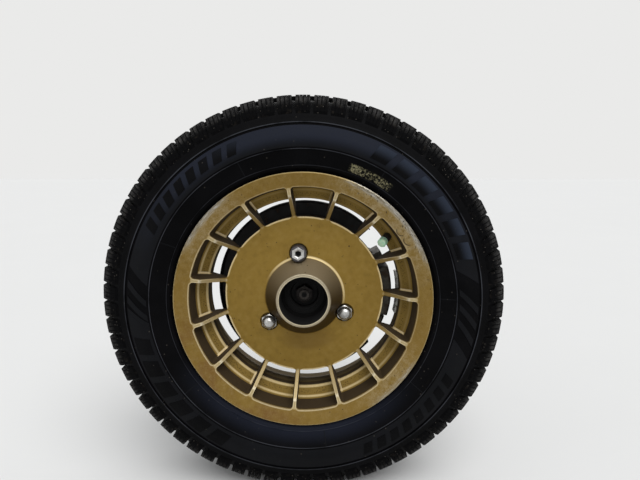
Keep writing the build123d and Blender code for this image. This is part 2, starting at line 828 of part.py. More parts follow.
def shield_bolts():
    """Three small bolts that hold the shield on the knuckle."""
    bolts = []
    for angle in (0.0, -90.0, 180.0):
        x, _, z = on_circle((housing_radius + backing_face_radius) / 2, angle, 0)
        bolts.append(Pos(x, 0, z) * hexagon_along_y(7.0, shield_y - 4.0, shield_y))
    return Compound(bolts)


# Caliper
finger_y = brake_disc_start - pad_gap - lining_thickness - pad_plate_thickness
inner_plate_y = brake_disc_end + pad_gap + lining_thickness
inner_plate_back = inner_plate_y + pad_plate_thickness
cylinder_end_y = inner_plate_back + cylinder_length
carrier_face_y = housing_end
carrier_thickness = 8.0
carrier_end_y = carrier_face_y + carrier_thickness
pin_inset = 21.0             # of the guide pins, from the caliper's outside
pin_circle = caliper_outer_radius - pin_inset
pin_radius = 5.0
pin_fit = 0.05
pin_angle = pad_half_angle + carrier_leg_angle / 2
boot_length = 18.0
boot_radius = 8.5
piston_length = 28.0
piston_bore_depth = 20.0
carrier_bolt_flats = 18.0
carrier_bolt_head = 8.0
guide_pin_flats = 13.0
guide_pin_head = 6.0
caliper_ear_y = carrier_end_y + boot_length
caliper_ear_thickness = 8.0
caliper_ear_radius = 9.0
finger_slot_depth = 22.0
finger_slot_width = 20.0
cylinder_floor = 10.0
port_radius = 5.0
port_depth = 12.0
port_offset = 12.25          # from the cylinder's middle towards the rear
port_z = -14.0


def sector(points, half_angle):
    """Solid of revolution that spans this angle each side of +X."""
    return turned(points, 2 * half_angle, -half_angle)


def pin_places():
    """Centres (x, z) of the two guide pins."""
    angle = radians(pin_angle)
    return [(pin_circle * cos(angle), side * pin_circle * sin(angle)) for side in (-1, 1)]


def caliper():
    """Sliding caliper: fingers, bridge over the disc and the piston's cylinder."""
    body = sector([
        (lining_inner_radius, finger_y - finger_thickness, 3.0),
        (caliper_outer_radius, finger_y - finger_thickness, 5.0),
        (caliper_outer_radius, inner_plate_back + 14.0, 5.0),
        (bridge_inner_radius - 14.0, inner_plate_back + 14.0),
        (bridge_inner_radius - 14.0, inner_plate_back + 1.5),
        (bridge_inner_radius, inner_plate_back + 1.5),
        (bridge_inner_radius, finger_y),
        (lining_inner_radius, finger_y, 2.0),
    ], caliper_half_angle)
    body += rod_along_y(cylinder_radius, inner_plate_back + 1.5, cylinder_end_y, cylinder_offset, 0)
    for x, z in pin_places():
        ear_end = caliper_ear_y + caliper_ear_thickness
        ear = rod_along_y(caliper_ear_radius, caliper_ear_y, ear_end, x, z)
        link = make_face(Polyline((cylinder_offset - 12, 0), (x - caliper_ear_radius, z), (x + 6, z * 1.08),
                                  (cylinder_offset + 18, 0), close=True))
        plane = Plane(origin=(0, ear_end, 0), x_dir=(1, 0, 0), z_dir=(0, -1, 0))
        body += ear + extrude(plane * link, caliper_ear_thickness)
        body -= rod_along_y(pin_radius + pin_fit, caliper_ear_y - 1, ear_end + 1, x, z)
    slot = Box(2 * finger_slot_depth, finger_thickness + 2, finger_slot_width)
    body -= Pos(lining_inner_radius, finger_y - finger_thickness / 2, 0) * slot
    body -= rod_along_y(piston_radius + piston_fit, inner_plate_back, cylinder_end_y - cylinder_floor,
                        cylinder_offset, 0)
    body -= rod_along_y(port_radius, cylinder_end_y - port_depth, cylinder_end_y + 1,
                        cylinder_offset + port_offset, port_z)
    return body - bleed_screw()


def caliper_piston():
    """Hollow piston that bears on the inner pad."""
    start = inner_plate_back
    piston = rod_along_y(piston_radius, start, start + piston_length, cylinder_offset, 0)
    bore_end = start + piston_bore_depth
    hollow = rod_along_y(piston_radius - piston_wall, start - 1, bore_end, cylinder_offset, 0)
    return piston - hollow


def brake_pad(inner):
    """Pad with its steel plate held between the carrier's legs."""
    plate_start = inner_plate_y if inner else finger_y
    lining_start = brake_disc_end + pad_gap if inner else finger_y + pad_plate_thickness
    plate = sector([
        (lining_inner_radius - 1.0, plate_start),
        (lining_outer_radius + 2.0, plate_start),
        (lining_outer_radius + 2.0, plate_start + pad_plate_thickness),
        (lining_inner_radius - 1.0, plate_start + pad_plate_thickness),
    ], pad_half_angle)
    lining = sector([
        (lining_inner_radius, lining_start),
        (lining_outer_radius, lining_start),
        (lining_outer_radius, lining_start + lining_thickness),
        (lining_inner_radius, lining_start + lining_thickness),
    ], pad_half_angle - 3.0)
    return plate + lining


def carrier_leg(side):
    """One leg of the carrier, over the disc's edge, beside the pads."""
    outer = caliper_outer_radius - 2.0
    start = pad_half_angle if side > 0 else -pad_half_angle - carrier_leg_angle
    clear = running_gap + 1.0
    return turned([
        (lining_inner_radius - 1.0, finger_y - 4.0),
        (outer, finger_y - 4.0, 4.0),
        (outer, carrier_end_y),
        (lining_inner_radius - 1.0, carrier_end_y),
        (lining_inner_radius - 1.0, brake_disc_end + clear),
        (bridge_inner_radius, brake_disc_end + clear),
        (bridge_inner_radius, brake_disc_start - clear),
        (lining_inner_radius - 1.0, brake_disc_start - clear),
    ], carrier_leg_angle, start)


def caliper_carrier():
    """Carrier bolted to the knuckle's ears, which holds the pads and guides the caliper."""
    plate_radius = backing_face_radius + 4.0
    body = sector([
        (plate_radius, carrier_face_y),
        (lining_outer_radius, carrier_face_y),
        (lining_outer_radius, carrier_end_y),
        (plate_radius, carrier_end_y),
    ], pad_half_angle + carrier_leg_angle)
    body += sector([
        (ear_circle - ear_radius, carrier_face_y),
        (ear_circle + ear_radius, carrier_face_y),
        (ear_circle + ear_radius, carrier_end_y),
        (ear_circle - ear_radius, carrier_end_y),
    ], ear_angle)
    body += carrier_leg(1) + carrier_leg(-1)
    body -= rod_along_y(cylinder_radius + 2.0, carrier_face_y - 1, carrier_end_y + 1,
                        cylinder_offset, 0)
    body -= sector([
        (cylinder_offset, carrier_face_y - 1),
        (caliper_outer_radius, carrier_face_y - 1),
        (caliper_outer_radius, carrier_end_y + 1),
        (cylinder_offset, carrier_end_y + 1),
    ], pad_half_angle)
    for side in (-1, 1):
        body += rod_along_y(ear_radius, carrier_face_y, carrier_end_y, ear_x, side * ear_z)
        body -= rod_along_y(ear_bolt_radius + bolt_clearance, carrier_face_y - 1, carrier_end_y + 1,
                            ear_x, side * ear_z)
    for x, z in pin_places():
        body -= rod_along_y(pin_radius + pin_fit, carrier_face_y - 5, carrier_end_y + 1, x, z)
    return body


def carrier_bolts():
    """Two bolts through the carrier into the knuckle's ears."""
    bolts = []
    face = carrier_end_y
    for side in (-1, 1):
        head = hexagon_along_y(carrier_bolt_flats, face, face + carrier_bolt_head)
        bolt = rod_along_y(ear_bolt_radius, backing_y, face) + head
        bolts.append(Pos(ear_x, 0, side * ear_z) * bolt)
    return Compound(bolts)


def guide_pins():
    """Pins on which the caliper slides."""
    pins = []
    face = caliper_ear_y + caliper_ear_thickness
    for x, z in pin_places():
        head = hexagon_along_y(guide_pin_flats, face, face + guide_pin_head)
        pin = rod_along_y(pin_radius, carrier_face_y, face) + head
        pins.append(Pos(x, 0, z) * pin)
    return Compound(pins)


def pin_boots():
    """Rubber bellows round the guide pins."""
    boots = []
    start = carrier_end_y
    length = caliper_ear_y - start
    for x, z in pin_places():
        boot = rod_along_y(boot_radius, start, start + length)
        boot -= rod_along_y(pin_radius, start - 1, start + length + 1)
        boots.append(Pos(x, 0, z) * boot)
    return Compound(boots)


def bleed_screw():
    """Bleed screw at the top of the cylinder."""
    base = Pos(cylinder_offset - 18.0, cylinder_end_y - 8.0, cylinder_radius - 10.0)
    screw = extrude(Circle(3.5), 16.0) + Pos(0, 0, 3.0) * extrude(RegularPolygon(5.8, 6), 5.0)
    return base * screw


nodes = {
    "tyre": tyre,
    "cast_wheel": cast_wheel,
    "valve_stem": valve_stem,
    "valve_cap": valve_cap,
    "balance_weights": balance_weights,
    "domed_nuts": domed_nuts,
    "locking_nut": locking_nut,
    "wheel_studs": wheel_studs,
    "hub": hub,
    "brake_disc": brake_disc,
    "axle_washer": axle_washer,
    "axle_nut": axle_nut,
    "drive_joint": drive_joint,
    "joint_race": joint_race,
    "joint_balls": joint_balls,
    "wheel_bearing": bearing,
    "knuckle": knuckle,
    "pinch_bolts": pinch_bolts,
    "splash_shield": splash_shield,
    "shield_bolts": shield_bolts,
    "caliper": caliper,
    "caliper_piston": caliper_piston,
    "inner_pad": lambda: brake_pad(True),
    "outer_pad": lambda: brake_pad(False),
    "caliper_carrier": caliper_carrier,
    "carrier_bolts": carrier_bolts,
    "guide_pins": guide_pins,
    "pin_boots": pin_boots,
    "bleed_screw": bleed_screw,
}

os.makedirs("parts", exist_ok=True)
for name, make in nodes.items():
    export_step(to_row * make(), f"parts/{name}.step")
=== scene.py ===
import math

import bpy
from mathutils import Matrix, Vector


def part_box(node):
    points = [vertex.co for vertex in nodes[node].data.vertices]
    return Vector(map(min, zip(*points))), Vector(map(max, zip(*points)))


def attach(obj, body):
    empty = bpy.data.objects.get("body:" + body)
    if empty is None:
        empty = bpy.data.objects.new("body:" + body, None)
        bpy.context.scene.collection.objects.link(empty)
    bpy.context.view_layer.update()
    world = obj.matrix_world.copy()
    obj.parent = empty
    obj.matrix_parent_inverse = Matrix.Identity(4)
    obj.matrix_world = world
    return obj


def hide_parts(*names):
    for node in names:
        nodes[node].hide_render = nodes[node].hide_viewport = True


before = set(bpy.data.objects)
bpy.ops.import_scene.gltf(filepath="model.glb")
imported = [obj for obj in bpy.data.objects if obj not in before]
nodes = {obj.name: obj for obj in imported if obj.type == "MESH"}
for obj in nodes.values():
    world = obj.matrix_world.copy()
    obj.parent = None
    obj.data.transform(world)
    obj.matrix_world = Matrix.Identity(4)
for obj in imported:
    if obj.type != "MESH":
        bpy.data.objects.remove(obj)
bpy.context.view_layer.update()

bl_info = {
    "name": "Cast Front Wheel",
    "version": (1, 0, 0),
    "blender": (4, 5, 0),
    "location": "View3D > Sidebar > Front Wheel",
    "description": "Tyre, cast rim, fixing, brake and stage of a rally car's front wheel",
    "category": "Object",
}

MM = 0.001
tyre_low, tyre_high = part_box("tyre")
rim_low, rim_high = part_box("cast_wheel")
hub_centre = (tyre_low + tyre_high) / 2
tyre_radius = (tyre_high.z - tyre_low.z) / 2 / MM
lip_radius = (rim_high.z - rim_low.z) / 2 / MM
lip_depth = (hub_centre.y - rim_low.y) / MM
floor_height = hub_centre.z - tyre_radius * MM

# the casting as it is drawn, in millimetres and degrees; depths count from the lip
spoke_count = 15
first_spoke = -7.0
ring_slope = 0.3163
kink_radius, kink_depth, spoke_slope = 149.0, 10.5, 1.2131
disc_radius, disc_depth, disc_slope = 118.5, 47.5, 0.082
cone_radius, cone_depth, cone_slope = 57.5, 42.5, 1.658
shelf_radius, shelf_depth, shelf_slope = 157.9, 40.0, 0.7292
window_inner, window_outer, window_corner, window_mouth = 119.2, 161.8, 5.0, 6.6
half_spoke, draft = 2.5, 0.0524
stud_angles = (-7.0, 113.0, 233.0)
stud_circle = 65.0
nut_seat = 50.0 - lip_depth
nut_flats, nut_length = 21.0, 12.5
socket_depth, socket_taper = 7.0, 0.97
axle_end = 49.0 - lip_depth
axle_nut_flats, axle_nut_length = 24.0, 14.0

valve_angle = math.radians(54.0)
valve_lean = math.atan2(10.5, 14.4)
valve_radius, valve_y = 150.7, 45.25 - lip_depth


def nut_place(angle):
    """Where a nut's axis crosses the rim's centre plane."""
    turn = math.radians(angle)
    return hub_centre + Vector((math.sin(turn), 0, math.cos(turn))) * stud_circle * MM


def rgb(red, green, blue):
    """A colour as a screen shows it, from 0 to 255, in the values that Blender works with."""
    shares = [value / 255 for value in (red, green, blue)]
    return tuple(c / 12.92 if c <= 0.04045 else ((c + 0.055) / 1.055) ** 2.4 for c in shares)


# Settings

COLOUR = {"subtype": "COLOR", "size": 3, "min": 0.0, "max": 1.0}


class PaintSettings(bpy.types.PropertyGroup):
    gold: bpy.props.FloatVectorProperty(
        name="Gold", description="Paint of the casting", default=rgb(135, 108, 42), **COLOUR)
    worn: bpy.props.FloatVectorProperty(
        name="Worn edge", description="Paint where it has thinned over an edge",
        default=rgb(216, 200, 162), **COLOUR)
    bare: bpy.props.FloatVectorProperty(
        name="Bare metal", description="Scuffed aluminium", default=rgb(188, 185, 178), **COLOUR)
    # brake dust and painted shade on the hidden faces behind the windows
    grime_and_shade: bpy.props.FloatVectorProperty(
        name="Grime", description="Brake dust baked on the hidden faces", default=rgb(44, 35, 27), **COLOUR)
    wear: bpy.props.FloatProperty(
        name="Wear", description="How far edges and lip are scuffed", subtype="FACTOR", min=0.0, max=1.0,
        default=0.75)


class TyreSettings(bpy.types.PropertyGroup):
    rubber: bpy.props.FloatVectorProperty(
        name="Rubber", description="Tyre compound", default=rgb(4, 4, 5), **COLOUR)
    panel: bpy.props.FloatVectorProperty(
        name="Panel", description="Smooth band of the sidewall", default=rgb(6, 7, 10), **COLOUR)
    pitches: bpy.props.IntProperty(
        name="Pitches", description="Tread blocks round the tyre", min=40, max=90, default=70)
    block_share: bpy.props.FloatProperty(
        name="Block share", description="Part of a pitch that the block fills", subtype="FACTOR",
        min=0.5, max=0.9, default=0.77)
    groove: bpy.props.FloatProperty(
        name="Groove depth", description="Depth of the main grooves", subtype="DISTANCE", unit="LENGTH",
        min=0.004, max=0.009, default=0.008)


class StageSettings(bpy.types.PropertyGroup):
    floor: bpy.props.FloatVectorProperty(
        name="Floor", description="Floor colour", default=rgb(223, 223, 222), **COLOUR)
    key: bpy.props.FloatProperty(
        name="Key lamp", description="Strength of the broad light over the camera's right", min=0.0, max=10.0,
        default=2.0)
    fill: bpy.props.FloatProperty(
        name="Fill lamp", description="Strength of the broad light from the left", min=0.0, max=10.0,
        default=0.35)
    back: bpy.props.FloatProperty(
        name="Back lamp", description="Strength of the broad light from behind", min=0.0, max=10.0,
        default=0.9)
    sky: bpy.props.FloatProperty(
        name="Sky", description="Strength of the even light from all round", min=0.0, max=2.0, default=0.4)
    lens: bpy.props.FloatProperty(
        name="Lens", description="Focal length in millimetres", unit="CAMERA", min=10.0, max=200.0,
        default=28.125)


# Finishes

def maths(operation, swapped=False):
    """A method of Shade that adds one node of arithmetic."""
    def method(self, *others):
        return self.result(operation, *((*others, self) if swapped else (self, *others)))
    return method


class Shade:
    """A number that varies over a surface, with arithmetic that adds the nodes it needs."""

    def __init__(self, finish, socket):
        self.finish = finish
        self.socket = socket

    def result(self, operation, *terms):
        node = self.finish.add("Math", {"operation": operation}, dict(enumerate(terms)))
        return Shade(self.finish, node.outputs[0])

    __add__, __radd__ = maths("ADD"), maths("ADD", swapped=True)
    __sub__, __rsub__ = maths("SUBTRACT"), maths("SUBTRACT", swapped=True)
    __mul__, __rmul__ = maths("MULTIPLY"), maths("MULTIPLY", swapped=True)
    __truediv__, __abs__ = maths("DIVIDE"), maths("ABSOLUTE")
    lower_of, higher_of = maths("MINIMUM"), maths("MAXIMUM")
    sine, cosine, clock_of = maths("SINE"), maths("COSINE"), maths("ARCTAN2")
    whole, root = maths("ROUND"), maths("SQRT")

    def rise(self, start, end):
        """0 below start and 1 above end, with a soft step between. It falls where end is the lower."""
        node = self.finish.add("MapRange", {"interpolation_type": "SMOOTHSTEP"},
                               {"Value": self, "From Min": min(start, end), "From Max": max(start, end),
                                "To Min": 0.0 if start < end else 1.0, "To Max": 1.0 if start < end else 0.0})
        return Shade(self.finish, node.outputs[0])

    def band(self, low, high, soft):
        """1 between two values."""
        return self.rise(low - soft, low) * self.rise(high + soft, high)

    def line(self, value, foot, head):
        """1 within head of a value, and 0 from foot away."""
        return abs(self - value).rise(foot, head)

    def near(self, middle, foot, head):
        """The same for a clock angle, in degrees."""
        return self.line(*(math.radians(angle) for angle in (middle, foot, head)))

    def towards(self, middle, low, high):
        """1 on the side of a clock angle in degrees, by the cosine of the angle from it."""
        return (self - math.radians(middle)).cosine().rise(low, high)


class Nodes:
    """The nodes of a material or of the background."""

    def __init__(self, tree):
        self.tree = tree

    def add(self, kind, settings, values):
        """A shader node with its settings made first, then its values and links."""
        node = self.tree.nodes.new("ShaderNode" + kind)
        for name, value in settings.items():
            setattr(node, name, value)
        for name, value in values.items():
            self.feed(node.inputs[name], value)
        return node

    def feed(self, socket, value):
        """Sets a socket, or links it."""
        if isinstance(value, Shade):
            value = value.socket
        if isinstance(value, bpy.types.NodeSocket):
            self.tree.links.new(value, socket)
        elif isinstance(value, (tuple, list)) and len(value) == 3 and len(socket.default_value) == 4:
            socket.default_value = (*value, 1.0)
        else:
            socket.default_value = value

    def mix(self, amount, first, second):
        """One colour over another."""
        return self.add("Mix", {"data_type": "RGBA"}, {0: amount, 6: first, 7: second}).outputs[2]


class Finish(Nodes):
    """A material in the making."""

    def __init__(self, name, **fixed):
        self.material = bpy.data.materials.new(name)
        self.material.use_nodes = True
        super().__init__(self.material.node_tree)
        self.surface = self.tree.nodes["Principled BSDF"]
        self.paint(**fixed)

    def place(self, centre=None, turn=(0.0, 0.0, 0.0), stretch=(1.0, 1.0, 1.0)):
        """Millimetres from a centre, the wheel's own unless another is given."""
        centre = hub_centre if centre is None else Vector(centre)
        grid = self.add("TexCoord", {}, {}).outputs["Object"]
        moved = self.add("VectorMath", {"operation": "SUBTRACT"}, {0: grid, 1: tuple(centre)})
        node = self.add("Mapping", {"vector_type": "POINT"},
                        {"Vector": moved.outputs[0], "Rotation": turn,
                         "Scale": tuple(s / MM for s in stretch)})
        return node.outputs[0]

    def vector(self, x, y, z):
        return self.add("CombineXYZ", {}, {0: x, 1: y, 2: z}).outputs[0]

    def split(self, vector):
        node = self.add("SeparateXYZ", {}, {0: vector})
        return [Shade(self, out) for out in node.outputs]

    def polar(self, place):
        """Radius, clock angle in radians and height along the axle of a place."""
        x, y, z = self.split(place)
        return (x * x + z * z).root(), x.clock_of(z), y

    def ring(self, place, x, z, radius):
        """Distance from a circle about a point of the wheel's face."""
        here_x, _, here_z = self.split(place)
        return abs(((here_x - x) * (here_x - x) + (here_z - z) * (here_z - z)).root() - radius)

    def hook(self, place, x, z, radius):
        """A thin arc on the lower left of a circle."""
        here_x, _, here_z = self.split(place)
        arc = self.ring(place, x, z, radius).rise(0.95, 0.35)
        return arc * (here_x + here_z).rise(x + z - 3.0, x + z - 6.0)

    def noise(self, place, size, detail=3.0, rough=0.55, twist=0.0):
        """Even noise from 0 to 1, whose lumps are about this many millimetres."""
        node = self.add("TexNoise", {}, {"Vector": place, "Scale": 1.0 / size, "Detail": detail,
                                         "Roughness": rough, "Distortion": twist})
        return Shade(self, node.outputs[0])

    def cells(self, place, size):
        """Distance to the nearest of scattered points, in cells of this size."""
        node = self.add("TexVoronoi", {}, {"Vector": place, "Scale": 1.0 / size})
        return Shade(self, node.outputs["Distance"])

    def layers(self, colour, *overs):
        """A colour with others laid over it in turn, as (amount, colour)."""
        for amount, over in overs:
            colour = self.mix(amount, colour, over)
        return colour

    def relief(self, height, depth, strength):
        """Bump from a height of 0 to 1, with its depth in millimetres."""
        return self.add("Bump", {}, {"Height": height, "Distance": depth * MM,
                                     "Strength": strength}).outputs[0]

    def paint(self, **values):
        """Feeds the surface, and gives the finished material."""
        for name, value in values.items():
            self.feed(self.surface.inputs[name.replace("_", " ").title().replace("Ior", "IOR")], value)
        return self.material


def gold_casting():
    """Satin gold paint, thin and bright over its edges, brown with dust and painted shade behind the windows,
    with painted highlights on its fillets and bends and painted light and shade on the boss's cone.
    """
    look = bpy.context.scene.wheel_paint
    f = Finish("gold_casting", roughness=0.42, metallic=0.42, specular_ior_level=0.25, coat_roughness=0.35,
               coat_ior=1.45)
    here = f.place()
    radius, clock, along = f.polar(here)
    deep = along + lip_depth
    pitch = 2 * math.pi / spoke_count
    turn = clock - math.radians(first_spoke)
    beside_spoke = (turn - (turn / pitch).whole() * pitch).sine() * radius
    across = abs(beside_spoke)

    front_ring = (lip_radius - radius) * ring_slope
    front_spoke = kink_depth + (kink_radius - radius) * spoke_slope
    front_disc = disc_depth - (disc_radius - radius) * disc_slope
    front_cone = cone_depth - (cone_radius - radius) * cone_slope
    front = front_ring.higher_of(front_spoke).lower_of(front_disc).lower_of(front_cone)
    below = deep - front
    taper = (deep - window_mouth).higher_of(0.0) * draft
    beside = (half_spoke + taper - across + window_corner).higher_of(0.0)
    outside = (radius - window_outer + taper + window_corner).higher_of(0.0)
    inside = (window_inner - radius - taper + window_corner).higher_of(0.0)
    rim = (beside * beside + outside * outside + inside * inside).root() - window_corner
    disc_edge = (rim.rise(3.0, 1.5) * radius.rise(121.0, 119.0) * across.rise(3.0, 5.0)
                 * below.rise(2.6, 0.8) * deep.rise(42.0, 45.0))

    coarse = f.noise(here, 38.0, 4.0, 0.6)
    mottle = f.noise(here, 9.0, 5.0, 0.6)
    grain = f.noise(here, 0.9, 3.0, 0.6)
    specks = f.cells(here, 7.5).rise(0.16, 0.09) * f.noise(here, 30.0, 1.0).rise(0.52, 0.6)
    broken = f.noise(here, 2.4, 4.0, 0.65)
    flecks = f.noise(here, 1.9, 4.0, 0.85)
    chips = f.noise(here, 1.1, 5.0, 0.75)
    chalky = f.noise(f.place(centre=hub_centre + Vector((0.3, 0.0, 0.0))), 9.0, 5.0, 0.7)
    scratch = f.noise(f.vector(radius, along, clock * 24.0), 1.3, 5.0, 0.7)
    streaks = f.noise(f.place(turn=(0.0, 0.5, 0.0), stretch=(1.0, 1.0, 0.28)), 2.2, 2.0, 0.5)

    face = below.rise(1.6, 0.3)
    hidden = below.rise(1.2, 4.5)
    # painted light and shade by clock angle: 1 on the lower left, painted as lit, falling to 0 at the top,
    # painted as shaded
    lit_lower_left = clock.towards(-145.0, -0.35, 0.5)
    # worn paint over the window edges, the outer ones dimmed as painted shade except on the lower left
    edge = (rim.rise(1.9, 0.6) * below.rise(2.6, 0.8) * deep.rise(55.0, 50.0)
            * (1.0 - radius.rise(156.0, 160.0) * (0.7 - 0.55 * lit_lower_left)))
    spoke_top = across.rise(2.6, 1.6) * radius.band(117.0, 160.0, 2.0) * face
    # painted highlight along the bend in the spokes
    kink_highlight = radius.line(kink_radius, 3.2, 0.6) * across.rise(3.4, 2.6) * face
    lip = radius.rise(lip_radius - 1.9, lip_radius - 0.7) * deep.rise(4.0, 2.0)
    shelf_line = abs(deep - shelf_depth - (shelf_radius - radius) * shelf_slope)
    on_shelf = shelf_line.rise(2.4, 1.2) * radius.band(141.5, 159.0, 1.0)
    # painted highlights on the shelf's edges, and on the fillet at the shelf's end that faces the light
    shelf_edge_highlights = (radius.line(156.4, 2.0, 0.5) + radius.line(144.6, 2.2, 0.6)).lower_of(1.0) * on_shelf
    shelf_end_highlight = (shelf_line.rise(5.0, 3.4) * radius.band(143.5, 158.0, 1.0) * across.band(4.3, 6.6, 0.6)
                 * (0.0 - beside_spoke * clock.sine()).rise(0.8, 3.0))
    pits = f.cells(here, 2.1).rise(0.42, 0.2) * radius.line(150.4, 4.5, 2.0) * on_shelf
    cone = radius.rise(58.5, 55.5) * radius.rise(33.0, 35.5) * deep.rise(60.0, 50.0)
    # painted light and shade on the boss's cone: lit tan at the top, shaded dark brown at the bottom
    cone_light_and_shade = f.mix(clock.cosine().rise(-0.25, 1.0), rgb(34, 22, 10), rgb(130, 117, 94))
    # painted highlight on the fillet round the cone's foot, towards the upper right
    crest_highlight = radius.line(58.6, 2.4, 0.6) * clock.towards(22.0, -0.1, 0.75)
    end_ring = radius.band(34.6, 39.2, 0.5) * deep.rise(13.0, 11.8)
    # the bore of the boss, painted near black and dull as painted shade
    bore = radius.rise(35.4, 34.6)

    upper_scuff = clock.near(46.0, 42.0, 14.0)
    left_scuff = clock.near(-50.0, 26.0, 8.0) * 0.85
    lower_scuff = clock.near(132.0, 24.0, 8.0) * 0.7
    where = upper_scuff.higher_of(left_scuff).higher_of(lower_scuff)
    front_edge = deep.rise(9.0, 5.0)
    reach = radius.rise(lip_radius - 14.0, lip_radius - 2.0) * front_edge
    on_ring = radius.rise(160.5, 163.0) * deep.rise(9.0, 6.5)
    scuff = ((where * reach * 1.1 + scratch * 0.9 + chips * 0.7).rise(1.25, 1.95) * reach.rise(0.02, 0.3)
             * where.rise(0.05, 0.3))
    dulled = ((where * reach + coarse * 0.5 + mottle * 0.4 + flecks * 0.5).rise(0.9, 1.6)
              * reach.rise(0.0, 0.3))
    nicks = streaks.rise(0.63, 0.68) * upper_scuff * radius.band(170.0, 179.0, 2.0) * front_edge
    for x, z in ((136.0, 101.5), (146.0, 88.5)):
        nicks = nicks.higher_of(f.hook(here, x, z, 7.0) * front_edge * chips.rise(0.3, 0.45))
    pinhole = f.ring(here, 66.0, 73.6, 0.0).rise(1.5, 0.8) * face
    # brown patches on the ring, darker towards the lower left
    patches = clock.towards(-140.0, 0.64, 0.98) * coarse.rise(0.42, 0.68) * radius.rise(150.0, 165.0) * face
    # darker brown on the disc below the boss
    darker_below_boss = clock.towards(175.0, 0.77, 1.0) * radius.band(58.0, 78.0, 10.0) * face

    gold = tuple(look.gold)
    colour = f.layers(
        gold,
        (coarse.rise(0.32, 0.7) * 0.5, tuple(c * k for c, k in zip(gold, (0.84, 0.8, 0.7)))),
        (mottle.rise(0.45, 0.75) * 0.28, rgb(152, 128, 74)),
        (mottle.rise(0.5, 0.3) * 0.25, rgb(96, 73, 28)),
        (patches * 0.65, rgb(110, 72, 34)),
        (darker_below_boss * 0.4, rgb(96, 70, 26)),
        (on_ring * (flecks * 0.7 + chalky * 0.6).rise(0.58, 0.9) * 0.5, rgb(164, 142, 96)),
        (on_ring * (flecks.rise(0.42, 0.28) * 0.3 + 0.3), rgb(86, 64, 28)),
        (on_ring * where * (chalky * 0.7 + flecks * 0.5).rise(0.45, 0.8) * 0.6, rgb(164, 149, 116)),
        # paler spoke fronts, brightened as a painted highlight on the lower left and towards their outer ends
        (spoke_top * (0.3 + 0.45 * lit_lower_left.higher_of(radius.rise(141.0, 149.0))), rgb(180, 163, 124)),
        (cone * (0.8 + 0.2 * coarse), cone_light_and_shade),
        # brake dust and painted shade on the window walls and other hidden faces
        (hidden * deep.rise(70.0, 60.0) * radius.rise(103.0, 110.0) * 0.92, tuple(look.grime_and_shade)),
        (on_shelf, rgb(134, 109, 52)),
        (pits * 0.8, rgb(62, 46, 20)),
        # the shelf's edge highlights dimmed towards the top as painted shade
        (shelf_edge_highlights * (0.45 + 0.6 * broken) * (0.12 + 0.88 * lit_lower_left), rgb(224, 202, 152)),
        (shelf_end_highlight * (0.7 + 0.4 * broken).lower_of(1.0), rgb(236, 216, 172)),
        ((edge * (0.5 + broken * 0.9) * look.wear).lower_of(1.0), tuple(look.worn)),
        ((disc_edge * (0.6 + broken * 0.8) * look.wear).lower_of(1.0), rgb(218, 196, 146)),
        (kink_highlight * 0.7, rgb(206, 196, 170)),
        (lip * 0.6, rgb(190, 170, 122)),
        (dulled * 0.8 * look.wear, rgb(146, 131, 96)),
        (scuff * 0.9, f.mix(scratch.rise(0.35, 0.7), rgb(116, 109, 94), tuple(look.bare))),
        (nicks * 0.85, rgb(46, 40, 34)),
        ((specks * face * 0.7).higher_of(pinhole * 0.9), rgb(50, 32, 16)),
        (crest_highlight * deep.rise(50.0, 45.0) * 0.9, rgb(226, 204, 152)),
        (end_ring, f.mix(broken, rgb(132, 120, 98), rgb(190, 180, 156))),
        (radius.band(34.4, 35.8, 0.4) * deep.rise(13.5, 12.0) * 0.8, rgb(214, 204, 176)),
        # painted shade in the bore
        (bore, rgb(5, 4, 4)),
        (deep.rise(62.0, 68.0) * 0.8, f.mix(mottle, rgb(70, 62, 50), rgb(112, 98, 74))))

    gloss = 0.4 + 0.14 * mottle + hidden * 0.4 + bore * 0.4 - scuff * 0.08
    shine = (0.42 + (scuff + end_ring).lower_of(1.0) * 0.45 - hidden * 0.3) * (1.0 - bore)
    rough_cast = (on_shelf * 0.9 + hidden * 0.5 + cone * 0.18 + 0.05).lower_of(1.0)
    height = (grain * 0.25 + mottle * rough_cast * 0.9 + (1.0 - pits) * 0.5 * on_shelf - nicks * 0.4
              - scuff * scratch * 0.5)
    return f.paint(base_color=colour, roughness=gloss, metallic=shine,
                   coat_weight=(1.0 - hidden.higher_of(bore)) * 0.08, normal=f.relief(height, 0.5, 0.55))


